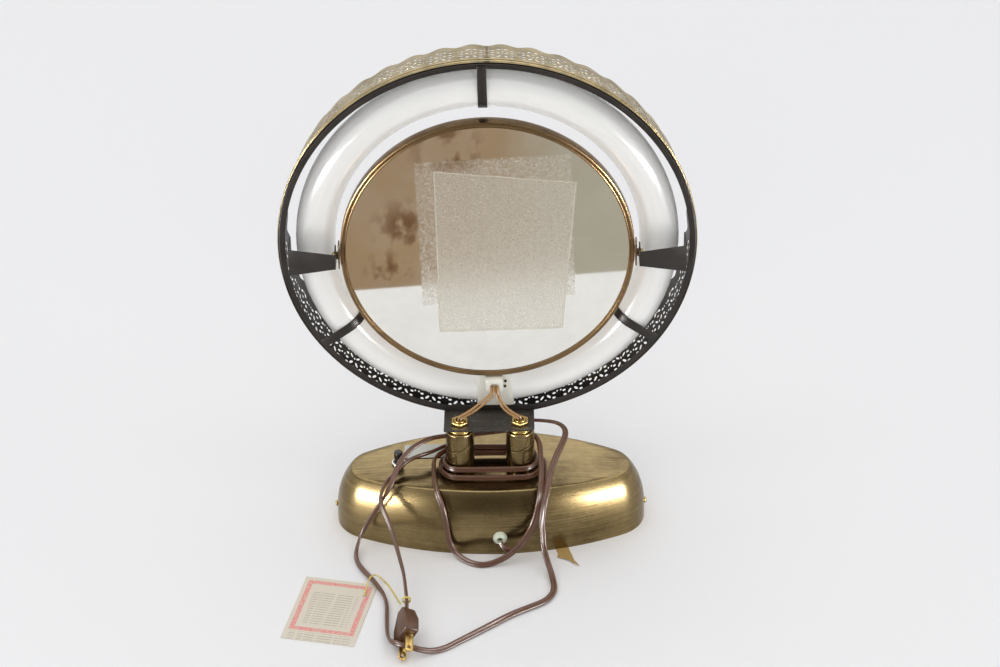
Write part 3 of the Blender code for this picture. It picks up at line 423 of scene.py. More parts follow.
def cord_material(name, colour):
    """Glossy vinyl, a little uneven in colour."""
    def build(g, place):
        cloud = g.noise(place, 40.0, 3.0, 0.5)
        return {"Base Color": g.mix(cloud, dimmed(colour, 1.2), dimmed(colour, 0.72)),
                "Roughness": g.blend(g.noise(place, 300.0, 3.0, 0.6), 0.24, 0.42)}
    return material(name, build, Coat_Weight=0.25, Coat_Roughness=0.2)


def fibre_material(name, colour, vary, scale):
    """Matt fibres or paper, from noise alone."""
    def build(g, place):
        fibres = g.noise(place, scale, 5.0, 0.65)
        return {"Base Color": g.mix(fibres, colour, dimmed(colour, 1 - vary)),
                "Normal": bump(g, fibres, 0.4, 0.00008)}
    return material(name, build, Roughness=0.85)


def card_material(name, paper, border):
    """A blank card: a patterned border and faint ruled lines, no lettering."""
    def build(g, place):
        centre = g.vector("SUBTRACT", place, tuple((Vector(TAG[0]) + Vector(TAG[1])) / 2))
        turned = g.node("ShaderNodeMapping", {"Vector": centre,
                                              "Rotation": (0, 0, math.radians(12))}).outputs[0]
        lifted = g.vector("SUBTRACT", turned, (0, 4 * MM, 0))
        distance = g.group("Rectangle", {"Place": lifted, "Half Width": 22.5 * MM,
                                         "Half Height": 28 * MM})["Distance"]
        band = g.product(g.ramp(distance, -0.2 * MM, 0.2 * MM), g.ramp(distance, 4.4 * MM, 4.0 * MM))
        weave = g.node("ShaderNodeTexVoronoi", {"Vector": turned, "Scale": 900.0}).outputs["Distance"]
        printed = g.product(band, g.ramp(weave, 0.15, 0.6))
        parts = g.parts(turned)
        row = g.ramp(g.math("PINGPONG", parts[1], 1.5 * MM), 0.55 * MM, 0.3 * MM)
        gaps = g.ramp(g.noise(g.vector("MULTIPLY", turned, (1, 0.02, 1)), 420.0, 2.0, 0.5), 0.40, 0.46)
        inner = g.product(g.ramp(distance, -3 * MM, -4 * MM), g.ramp(parts[1], 22 * MM, 21 * MM))
        below = g.product(g.ramp(parts[1], -29.5 * MM, -30.5 * MM),
                          g.ramp(g.math("ABSOLUTE", parts[0]), 26 * MM, 25 * MM))
        ruled = g.product(row, gaps, g.largest(inner, below), 0.5)
        fibres = g.noise(place, 500.0, 4.0, 0.6)
        base = g.mix(fibres, paper, dimmed(paper, 0.93))
        inked = g.mix(ruled, base, (0.20, 0.17, 0.16))
        return {"Base Color": g.mix(printed, inked, border)}
    return material(name, build, Roughness=0.8)


def label_material(name, paper):
    """A faded blank label: pale, mottled, with faint worn rules."""
    def build(g, place):
        worn = g.ramp(g.noise(place, 420.0, 4.0, 0.7), 0.45, 0.75)
        row = g.ramp(g.math("PINGPONG", g.parts(place)[1], 1.6 * MM), 0.6 * MM, 0.3 * MM)
        ink = g.product(row, worn, 0.5)
        return {"Base Color": g.mix(ink, paper, (0.22, 0.26, 0.30))}
    return material(name, build, Roughness=0.6)


def make_materials(context):
    metal = settings(context, "metal")
    cord = settings(context, "cord")
    lamp = settings(context, "lamp")
    paper = settings(context, "paper")
    clean, dark = tuple(metal.brass), tuple(metal.patina)
    bright, bronze = tuple(metal.bright), tuple(metal.bronze)
    brass_material("Base brass", clean, dark, 0.46, (0.20, 0.33))
    brass_material("Post brass", dimmed(clean, 0.95), dark, 0.42, (0.18, 0.30), 0.08, 30.0, 0.7)
    brass_material("Rim brass", tuple(metal.rim), dimmed(metal.rim, 0.35), 0.42, (0.25, 0.42), 0.03, 40.0,
                   0.4)
    plain_material("Bright brass", bright, 0.22, 1.0, 0.18, 90.0)
    dark_material("Bronzed steel", dimmed(bronze, 0.6), (0.045, 0.032, 0.024))
    dark_material("Plate steel", dimmed(bronze, 1.2), (0.07, 0.055, 0.04), 0.45)
    gallery_material("Gallery brass", tuple(metal.gallery), (0.022, 0.018, 0.016))
    tube_material("Phosphor glass", tuple(lamp.phosphor))
    plain_material("Ivory plastic", tuple(lamp.ivory), 0.4, 0.0, 0.05)
    plain_material("Pale rubber", (0.66, 0.71, 0.56), 0.45, 0.0, 0.06)
    aged_mirror_material("Aged mirror")
    plain_material("Clean mirror", (0.84, 0.85, 0.84), 0.02, 1.0, 0.01, 20.0, grain=0.0)
    plain_material("Black plastic", (0.012, 0.011, 0.011), 0.3, 0.0, 0.1)
    plain_material("Nickel", (0.72, 0.69, 0.62), 0.2, 1.0, 0.1)
    plain_material("Zinc steel", (0.45, 0.45, 0.44), 0.4, 1.0, 0.12)
    plain_material("Cast iron", (0.045, 0.045, 0.047), 0.7, 0.2, 0.2, 200.0, grain=0.6)
    fibre_material("Fibreboard", (0.16, 0.10, 0.055), 0.5, 350.0)
    cord_material("Brown vinyl", tuple(cord.vinyl))
    plain_material("Plug plastic", tuple(cord.plug), 0.38, 0.0, 0.15, 80.0)
    plain_material("Lead insulation", tuple(cord.lead), 0.35, 0.0, 0.2, 90.0, 0.2)
    fibre_material("Yellow string", tuple(cord.string), 0.35, 2500.0)
    card_material("Printed card", tuple(paper.card), tuple(paper.border))
    label_material("Faded label", tuple(paper.label))
    fibre_material("Ochre paper", tuple(paper.scrap), 0.45, 260.0)


# ---------------------------------------------------------------- mesh helpers

def close_up(bm):
    """Merge doubled points and turn all faces outwards."""
    bmesh.ops.remove_doubles(bm, verts=bm.verts, dist=2e-6)
    bmesh.ops.recalc_face_normals(bm, faces=bm.faces)


def finished(name, bm, mat, body="stand", nodes=(), smooth=40):
    """Turn a bmesh into a piece that rides on a body and stands for CAD nodes."""
    mesh = bpy.data.meshes.new(name)
    bm.to_mesh(mesh)
    bm.free()
    mesh.shade_smooth()
    mesh.set_sharp_from_angle(angle=math.radians(smooth))
    piece = bpy.data.objects.new(name, mesh)
    bpy.context.scene.collection.objects.link(piece)
    mesh.materials.append(bpy.data.materials[mat])
    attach(piece, body)
    if nodes:
        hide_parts(*nodes)
    return piece


def turn_profile(profile, steps, axis, centre=(0, 0, 0)):
    """Spin a closed (radius, height) outline about the Y or Z axis through a centre."""
    bm = bmesh.new()
    row = [bm.verts.new((r, 0, h)) for r, h in profile]
    edges = [bm.edges.new(pair) for pair in zip(row, row[1:] + row[:1])]
    bmesh.ops.spin(bm, geom=row + edges, cent=(0, 0, 0), axis=(0, 0, 1), angle=FULL_TURN, steps=steps,
                   use_merge=True)
    close_up(bm)
    if axis == "Y":
        bmesh.ops.rotate(bm, verts=bm.verts, matrix=Matrix.Rotation(-math.pi / 2, 3, "X"))
    bmesh.ops.translate(bm, verts=bm.verts, vec=Vector(centre))
    return bm


def node_copy(node):
    """A merged copy of a CAD node's mesh, with its flat faces joined up again."""
    bm = bmesh.new()
    bm.from_mesh(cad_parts[node].data)
    bmesh.ops.remove_doubles(bm, verts=bm.verts, dist=2e-6)
    bmesh.ops.dissolve_limit(bm, angle_limit=math.radians(1.5), verts=bm.verts, edges=bm.edges)
    return bm


def sharp_edges(bm, degrees):
    return [e for e in bm.edges if len(e.link_faces) == 2 and e.calc_face_angle() > math.radians(degrees)]


def rounded_copy(node, width_mm, mat, body="stand", angle=30, segments=2, name=None, smooth=30):
    """A CAD node's shape with its edges rounded."""
    bm = node_copy(node)
    bmesh.ops.bevel(bm, geom=sharp_edges(bm, angle), offset=width_mm * MM, affect="EDGES",
                    segments=segments, profile=0.5, material=-1, clamp_overlap=True)
    return finished(name or f"{node}_finish", bm, mat, body, (node,), smooth)


def repaint(node, mat):
    """Give a CAD node that stays in view a finished material."""
    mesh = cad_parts[node].data
    mesh.materials.clear()
    mesh.materials.append(bpy.data.materials[mat])


def track_length(points):
    return sum((q - p).length for p, q in zip(points, points[1:]))


def smooth_route(route, spacing):
    """Points at even steps on a smooth curve through a route in millimetres."""
    pts = [Vector(p) * MM for p in route]
    ends = [2 * pts[0] - pts[1]] + pts + [2 * pts[-1] - pts[-2]]
    fine = []
    for a, b, c, d in zip(ends, ends[1:], ends[2:], ends[3:]):
        for i in range(16):
            t = i / 16
            fine.append(0.5 * (2 * b + (c - a) * t + (2 * a - 5 * b + 4 * c - d) * t * t
                               + (3 * b - a - 3 * c + d) * t * t * t))
    fine.append(pts[-1])
    total = track_length(fine)
    count = max(2, round(total / spacing))
    out = [fine[0]]
    run = 0.0
    for p, q in zip(fine, fine[1:]):
        step = (q - p).length
        while len(out) < count and run + step >= total * len(out) / count:
            out.append(p.lerp(q, (total * len(out) / count - run) / step))
        run += step
    out.append(fine[-1])
    return out


def relaxed(points, rounds):
    """Ease out kinks by moving each point towards its neighbours' middle."""
    for _ in range(rounds):
        inner = [(a + 2 * b + c) / 4 for a, b, c in zip(points, points[1:], points[2:])]
        points = [points[0], *inner, points[-1]]
    return points


def round_section(radius, count, wide=1.0, high=1.0):
    """Outline of a round or oval strand."""
    turns = [FULL_TURN * i / count for i in range(count)]
    return [(radius * wide * math.cos(turn), radius * high * math.sin(turn)) for turn in turns]


def level(_):
    return 0.0


def sweep(points, section, twist=level):
    """Carry a cross-section along a path; twist gives its turn from level at each point."""
    bm = bmesh.new()
    loops = []
    last_side = Vector((1, 0, 0))
    for i, point in enumerate(points):
        along = (points[min(i + 1, len(points) - 1)] - points[max(i - 1, 0)]).normalized()
        side = along.cross(Vector((0, 0, 1)))
        if side.length < 0.25:
            side = last_side
        side = (side - along * side.dot(along)).normalized()
        last_side = side
        spin = Matrix.Rotation(twist(i), 3, along)
        across, lift = spin @ side, spin @ side.cross(along)
        loops.append([bm.verts.new(point + across * u + lift * v) for u, v in section])
    count = len(section)
    for low, high in zip(loops, loops[1:]):
        for i in range(count):
            j = (i + 1) % count
            bm.faces.new((low[i], low[j], high[j], high[i]))
    bm.faces.new(loops[0])
    bm.faces.new(loops[-1])
    bmesh.ops.recalc_face_normals(bm, faces=bm.faces)
    return bm


# ---------------------------------------------------------------- the cord and what is on it

CORD_START = ((7.3, -61.2, 16.6), (9, -64.0, 14.5), (12.5, -65.5, 12), (17.5, -65, 10.5), (22, -63.5, 11.5),
              (26.5, -60.5, 15), (31, -58, 20.5), (35, -56, 27.5), (38, -53.5, 34.5), (41, -50.8, 43.5),
              (43, -47.8, 52), (44.8, -41.8, 59), (45.4, -32, 60.3), (45.8, -20, 61), (45.5, -11, 61.5))

CORD_FREE = ((-45.2, -5.6, 65), (-46.8, -12, 64), (-46.8, -22, 61.6), (-46, -33, 60.6), (-45, -41.5, 59),
             (-43, -46.5, 53.5), (-40, -50.3, 46.5), (-38.2, -53, 39), (-37, -54.5, 32), (-36, -55.6, 24.5),
             (-35, -56.4, 17), (-32.6, -57.8, 9.5), (-28, -61, 4.2), (-21, -66.8, 2.6), (-14, -71.6, 2.6),
             (-6, -73, 2.6), (2, -71.2, 3.4), (12, -70, 8.2), (21, -68, 15.5), (28, -64, 23),
             (33.5, -60.5, 31), (37, -58, 41), (39, -56, 51), (40.5, -51.5, 60.5), (41.6, -42, 67),
             (42, -32, 71.5), (41.4, -22, 76), (41, -12, 79.8), (38, -3, 82), (31, 3.5, 83), (21, 5.5, 83),
             (9, 5, 82), (-4, 4.2, 80.8), (-17, 4, 79.8), (-28, 3.8, 79.4), (-36, 3, 79.2), (-43, 1, 80),
             (-50, -3, 80.8), (-57, -8, 80.5), (-64, -13, 79), (-69, -18, 76.4), (-74, -23.5, 73),
             (-77.5, -31, 68.5), (-80.5, -37.5, 63.5), (-84, -42.5, 57), (-91, -44.5, 45.5),
             (-98.6, -44, 31.5), (-104.6, -43.6, 20), (-108.4, -45.6, 12), (-111, -50.6, 6.4),
             (-112, -58, 3.7), (-110.6, -67, 3.4), (-107, -76, 3.6), (-100, -88, 4), (-93, -100, 4),
             (-87, -113, 3.4), (-84.5, -126, 3.2), (-84, -141, 3.4), (-83.4, -157, 4.8), (-82.2, -170, 7),
             (-79, -180.4, 9.8), (-73, -185.6, 12), (-66, -187.2, 10.6), (-58, -187, 7.6),
             (-50, -185.2, 4.2), (-43, -182.6, 2.7), (-36, -179.4, 2.6), (-28, -173, 2.6),
             (-15, -163, 2.6), (0, -151, 2.6), (15, -139, 2.6), (31, -129, 2.6), (41, -123, 2.6),
             (48, -115, 2.6), (51, -105, 2.6), (50, -94, 3.5), (48, -84, 6), (45, -77, 12),
             (43, -71.5, 20), (42.5, -67.5, 28.5), (42, -64.5, 36.5), (42.5, -61.5, 44), (44, -57, 53),
             (46.5, -50, 62), (49, -40, 70), (53, -31, 78), (57.5, -22, 83.5), (61, -14.5, 87),
             (62.6, -7, 89.2), (60.2, 0, 90.4), (54, 4.6, 90.9), (45.5, 6.8, 90.9), (36, 8.8, 90.3),
             (25, 10.8, 88.2), (12, 11.4, 84), (-2, 11.2, 79), (-15, 10.8, 73.6), (-26, 10, 69.6),
             (-35, 8, 67.2), (-42.5, 4, 66), (-50, -1.5, 66), (-57, -6, 66.5), (-64, -8.5, 65.3),
             (-69.5, -11, 63.3), (-74, -15.5, 61.2), (-79, -22, 59.6), (-84, -29.5, 58.8),
             (-87.5, -36.5, 58), (-89.5, -43.5, 56), (-90.5, -49, 52.5), (-89, -54, 48),
             (-85.8, -58.8, 43), (-82.5, -64.5, 37.5), (-80, -70.5, 31.5), (-77, -78.5, 25.5),
             (-74, -89.5, 20.5), (-71, -103, 17), (-69.2, -120, 16.2), (-67.8, -137, 17.2),
             (-67.6, -151.6, 19))

TAG_STRING = ((-103, -111, 2.0), (-102, -105, 3.4), (-100.4, -99, 6.4), (-98, -93.4, 8), (-94, -89, 5.4),
              (-88.6, -90.6, 2.0), (-83.4, -98, 0.9), (-79.6, -107, 0.9), (-76.4, -116, 2.2),
              (-74.2, -126, 6.2), (-72.6, -134, 11.2))

WINDING = ((61.5, 19.6), (60.3, 17.2), (59.8, 17.2), (59.2, 17.4), (60.0, 17.2), (62.6, 13.9),
           (64.0, 14.0), (65.2, 14.0), (65.4, 14.0), (66.0, 17.2), (65.4, 19.6))


def winding_route():
    """Turns round both posts, from their right side anticlockwise to their left, in mm.

    WINDING gives the height, and the reach from the post's middle, at each quarter turn.
    """
    points = []
    for quarter, (start, end) in enumerate(zip(WINDING, WINDING[1:])):
        for i in range(5):
            if (quarter, i) == (0, 0):
                continue
            share = i / 5
            ease = share * share * (3 - 2 * share)
            level, reach = (a + (b - a) * ease for a, b in zip(start, end))
            turn = (quarter + share) * math.pi / 2
            side = POST_X / MM if i or quarter % 2 == 0 else 0.0
            points.append((reach * math.cos(turn) + math.copysign(side, math.cos(turn)),
                           POST_Y / MM + reach * math.sin(turn), level))
    return points


def cord_route():
    return [*CORD_START, *winding_route(), *CORD_FREE]


def twin_section(width, thickness):
    """Outline of flat twin cord: two round conductors joined by a thin web."""
    r = thickness / 2
    centre = width / 2 - r
    web = math.radians(24)
    outline = []
    for side in (1, -1):
        for i in range(9):
            turn = -math.pi + web + (FULL_TURN - 2 * web) * i / 8
            outline.append((side * (centre + r * math.cos(turn)), side * r * math.sin(turn)))
    return outline


class MIRROR_OT_cord(bpy.types.Operator):
    """Flat twin mains cord, from the grommet round the posts to the plug"""
    bl_idname = "mirror.cord"
    bl_label = "Mains cord"

    def execute(self, context):
        look = settings(context, "cord")
        points = relaxed(smooth_route(cord_route(), 3 * MM), 2)
        wound_from = len(smooth_route(CORD_START, 3 * MM)) - 14
        wound_to = len(smooth_route([*CORD_START, *winding_route()], 3 * MM))

        def twist(i):
            """The cord stands on edge round the posts and sways from there on."""
            upright = 0.5 * math.pi
            if wound_from < i < wound_to:
                return upright
            sway = 0.9 * math.sin(i * 0.052) + 0.5 * math.sin(i * 0.021 + 1.0)
            return upright * (0.55 + 0.45 * math.sin(i * 0.033 + 0.8)) + 0.35 * sway
        bm = sweep(points, twin_section(look.width, look.thickness), twist)
        cord = finished("mains_cord", bm, "Brown vinyl", "stand",
                        ("cord_start", "cord_winding", "cord_free_1", "cord_free_2", "cord_free_3"), 60)
        return {"FINISHED"}


class MIRROR_OT_plug(bpy.types.Operator):
    """Moulded two-blade plug and the grommet in the base"""
    bl_idname = "mirror.plug"
    bl_label = "Plug and grommet"

    def execute(self, context):
        rounded_copy("plug_body", 0.7, "Plug plastic", angle=50, segments=3, name="plug_moulding",
                     smooth=40)
        for side in ("upper", "lower"):
            rounded_copy(f"plug_blade_{side}", 0.2, "Bright brass", name=f"plug_contact_{side}")
        x, z = ((BUSHING[0][i] + BUSHING[1][i]) / 2 for i in (0, 2))
        r = (BUSHING[1][0] - BUSHING[0][0]) / 2
        deep = BUSHING[1][1] - BUSHING[0][1]
        steps = [math.pi * i / 12 for i in range(13)]
        bulb = [(r * math.sin(0.14 * math.pi + 0.72 * turn), deep * (0.5 - 0.5 * math.cos(turn)))
                for turn in steps]
        bm = turn_profile([(2.3 * MM, 0.6 * MM), *bulb, (2.3 * MM, deep)], 48, "Y", (x, BUSHING[0][1], z))
        finished("cord_grommet", bm, "Pale rubber", "stand", ("cord_bushing",), 50)
        return {"FINISHED"}


# ---------------------------------------------------------------- base and posts

BASE_LEVELS = 26
SHOULDER = math.radians(30)
BASE_TOP = (115.5 * MM, 43.5 * MM, 21 * MM)
BASE_FOOT = (129 * MM, 55 * MM, 33 * MM)
BASE_CROWN = 4 * MM
BASE_SKIRT = 12 * MM
BASE_SHEET = 1.2 * MM


def lens_point(share, half_len, half_dep, end_r):
    """A point at an even share of turning round the lens-shaped plan."""
    wide = ((half_len - end_r) ** 2 + half_dep ** 2 - end_r ** 2) / (2 * (half_dep - end_r))
    meet = math.atan2(wide - half_dep, half_len - end_r)
    part = share * 4
    quarter = min(int(part), 3)
    inside = part - quarter
    if quarter in (1, 3):
        inside = 1 - inside
    arc_end = meet * end_r
    arc_wide = (math.pi / 2 - meet) * wide
    run = inside * (arc_end + arc_wide)
    if run < arc_end:
        angle = run / end_r
        x, y = half_len - end_r + end_r * math.cos(angle), end_r * math.sin(angle)
    else:
        angle = meet + (run - arc_end) / wide
        x, y = wide * math.cos(angle), half_dep - wide + wide * math.sin(angle)
    return x * (-1 if quarter in (1, 2) else 1), y * (-1 if quarter in (2, 3) else 1)


def crown(x):
    return BASE_H - BASE_CROWN * (x / BASE_TOP[0]) ** 2


class MIRROR_OT_base(bpy.types.Operator):
    """Pressed brass base, its cover and fittings"""
    bl_idname = "mirror.base"
    bl_label = "Base"

    sides = 176

    def ring(self, verts, plan, height):
        """Set points in order on a lens-shaped plan, each at the height of its x."""
        for i, vert in enumerate(verts):
            x, y = lens_point(i / self.sides, *plan)
            vert.co = (x, y, height(x))

    def extrude(self, bm, verts):
        """Extrude the newest rim outwards and give its points in order."""
        edges = [bm.edges.get((a, b)) for a, b in zip(verts, verts[1:] + verts[:1])]
        made = bmesh.ops.extrude_edge_only(bm, edges=edges)["geom"]
        new = {v for v in made if isinstance(v, bmesh.types.BMVert)}
        return [next(e.other_vert(v) for e in v.link_edges if e.other_vert(v) in new) for v in verts]

    def execute(self, context):
        bm = bmesh.new()
        verts = bmesh.ops.create_circle(bm, cap_ends=False, segments=self.sides, radius=1)["verts"]
        shares = (0.04, 0.2, 0.4, 0.6, 0.8, 0.93, 1.0)
        for share in shares:
            plan = tuple(size * share for size in BASE_TOP)
            if share != shares[0]:
                verts = self.extrude(bm, verts)
            self.ring(verts, plan, crown)
            if share == shares[0]:
                bmesh.ops.contextual_create(bm, geom=verts)
        for i in range(1, BASE_LEVELS + 1):
            turn = SHOULDER + (math.pi / 2 - SHOULDER) * i / BASE_LEVELS
            low = math.sin(SHOULDER)
            part = (math.sin(turn) - low) / (1 - low)
            rise = math.cos(turn) / math.cos(SHOULDER)
            plan = tuple(t + (f - t) * part for t, f in zip(BASE_TOP, BASE_FOOT))
            verts = self.extrude(bm, verts)
            self.ring(verts, plan, lambda x, rise=rise: BASE_SKIRT
                      + (BASE_H - BASE_SKIRT) * rise - rise * (BASE_H - crown(x * 0.9)))
        for height in (6 * MM, 0.0):
            verts = self.extrude(bm, verts)
            self.ring(verts, BASE_FOOT, lambda x, height=height: height)
        close_up(bm)
        if sum(f.normal.z for f in bm.faces if f.calc_center_median().z > BASE_H * 0.95) < 0:
            bmesh.ops.reverse_faces(bm, faces=bm.faces)
        bmesh.ops.bevel(bm, geom=sharp_edges(bm, 35), offset=1.0 * MM, affect="EDGES", segments=4,
                        profile=0.5, material=-1)
        bmesh.ops.solidify(bm, geom=bm.faces[:], thickness=BASE_SHEET)
        finished("base_pressing", bm, "Base brass", "stand", ("base_shell",), 60)

        for side in ("left", "right"):
            rounded_copy(f"side_screw_{side}", 0.25, "Bright brass")
        rounded_copy("switch_collar", 0.25, "Nickel", segments=3)
        rounded_copy("switch_body", 0.3, "Black plastic")
        rounded_copy("button_cap", 0.5, "Black plastic", "button", segments=3)
        repaint("bottom_cover", "Fibreboard")
        repaint("ballast_core", "Cast iron")
        for node in ("ballast_strap", "base_nut_left", "base_nut_right"):
            repaint(node, "Zinc steel")
        return {"FINISHED"}


GROOVE_START = 9.1 * MM
GROOVE_DEPTH = 0.35 * MM


class MIRROR_OT_posts(bpy.types.Operator):
    """Grooved brass posts, their necks, pipes and nuts"""
    bl_idname = "mirror.posts"
    bl_label = "Posts"

    def execute(self, context):
        metal = settings(context, "metal")
        for side, box in POSTS.items():
            x = (box[0][0] + box[1][0]) / 2
            low, high = box[0][2], box[1][2]
            soft, steps = 0.3 * MM, 84
            top = high - 1.0 * MM
            wall = [(10.4 * MM, low), (POST_R - soft, low), (POST_R, low + soft)]
            wall += [(POST_R, low + soft + (top - low - soft) * i / steps) for i in range(1, steps + 1)]
            wall += [(POST_R - 0.35 * MM, high - 0.35 * MM), (POST_R - 1.1 * MM, high), (5.4 * MM, high),
                     (5.4 * MM, high - 1.2 * MM), (10.4 * MM, high - 1.2 * MM)]
            bm = turn_profile(wall, 96, "Z", (x, POST_Y, 0))
            layer = bm.verts.layers.float.new("groove")
            for vert in bm.verts:
                dx, dy = vert.co.x - x, vert.co.y - POST_Y
                r = math.hypot(dx, dy)
                if r < POST_R - 0.1 * MM or vert.co.z > top - 0.2 * MM or vert.co.z < low + 0.5 * MM:
                    continue
                rise = (math.atan2(dy, dx) / FULL_TURN) * metal.groove_pitch
                off = (vert.co.z - low - GROOVE_START - rise + metal.groove_pitch / 2) % metal.groove_pitch
                off = abs(off - metal.groove_pitch / 2)
                if off < metal.groove / 2:
                    depth = 1 - off / (metal.groove / 2)
                    vert[layer] = min(1.0, depth * 1.6)
                    sink = GROOVE_DEPTH * depth
                    vert.co.x -= dx / r * sink
                    vert.co.y -= dy / r * sink
            finished(f"grooved_post_{side}", bm, "Post brass", "stand", (f"post_{side}",), 50)
            rounded_copy(f"post_neck_{side}", 0.2, "Bright brass")
            rounded_copy(f"top_nut_{side}", 0.35, "Bright brass")
            rounded_copy(f"nipple_{side}", 0.2, "Bright brass")
        plate = node_copy("bracket_plate")
        bmesh.ops.bevel(plate, geom=sharp_edges(plate, 30), offset=0.25 * MM, affect="EDGES", segments=2,
                        profile=0.5, material=-1)
        finished("bracket", plate, "Plate steel", "stand", ("bracket_plate",), 30)
        return {"FINISHED"}


# ---------------------------------------------------------------- hoop and gallery

def squash_hoop(bm, reach):
    """Make a ring slightly oval, flat from a radius outwards where it sits, and set it in place."""
    seat = HOOP[0][2] - HOOP_CENTRE.z
    bmesh.ops.scale(bm, verts=bm.verts, vec=(1, 1, HOOP_SQUASH))
    for vert in bm.verts:
        radius = math.hypot(vert.co.x, vert.co.z / HOOP_SQUASH)
        if radius > reach:
            vert.co.z = max(vert.co.z, seat + (HOOP_R - radius) * HOOP_SQUASH)
    bmesh.ops.translate(bm, verts=bm.verts, vec=HOOP_CENTRE)


SCALLOPS = 43
SCALLOP_PHASE = math.radians(93.7)
BAND_DEPTH = BAND[1][1] - HOOP[0][1]
BAND_STRAIGHT = 7.5 * MM
BAND_REAR_R = HOOP_R + 1.3 * MM
BAND_FRONT_R = 161.3 * MM
SCALLOP_RISE = 5.5 * MM
LACE_T = 0.3 * MM


def band_radius(depth):
    """Outer radius of the gallery at a depth from its rear edge."""
    share = max(0.0, depth - BAND_STRAIGHT) / (BAND_DEPTH - BAND_STRAIGHT)
    return BAND_REAR_R + (BAND_FRONT_R - BAND_REAR_R) * share


def scallop_edge(share):
    """Depth of the gallery's free edge at a share -0.5..0.5 across one scallop."""
    return BAND_DEPTH - SCALLOP_RISE * (1 - (0.5 + 0.5 * math.cos(FULL_TURN * share)) ** 0.8)


def oval(across, along, half_w, half_h, lean=0.0, count=8):
    """Outline of a hole, in mm across the scallop and along its depth."""
    points = []
    lean = math.radians(lean)
    for i in range(count):
        turn = FULL_TURN * (i + 0.5) / count
        u, v = half_w * math.cos(turn), half_h * math.sin(turn)
        points.append((across + u * math.cos(lean) - v * math.sin(lean),
                       along + u * math.sin(lean) + v * math.cos(lean)))
    return points


def lace_holes():
    """Holes of one scallop: a rosette, ladders at both sides and leaves below it."""
    holes = []
    for sign in (-1, 1):
        for i in range(4):
            holes.append(oval(sign * (7.3 if i == 0 else 7.7), 10.6 + 5.3 * i, 1.55, 1.35))
        holes.append(oval(sign * 2.9, 13.4, 2.7, 1.15, sign * -58))
        holes.append(oval(sign * 3.3, 21.3, 2.4, 1.05, sign * 52))
        holes.append(oval(sign * 2.9, 29.8, 2.2, 1.25, sign * -40))
        holes.append(oval(sign * 10.6, 17.5, 0.8, 1.2, 0, 6))
        holes.append(oval(sign * 10.6, 27.0, 0.7, 1.2, 0, 6))
    holes.append(oval(0, 25.6, 1.7, 0.95))
    holes.append(oval(0, 30.9, 0.7, 1.2, 0, 6))
    holes.append(oval(0, 19.6, 0.8, 1.5, 0, 6))
    holes.append(oval(0, 9.8, 1.1, 0.7, 0, 6))
    return holes


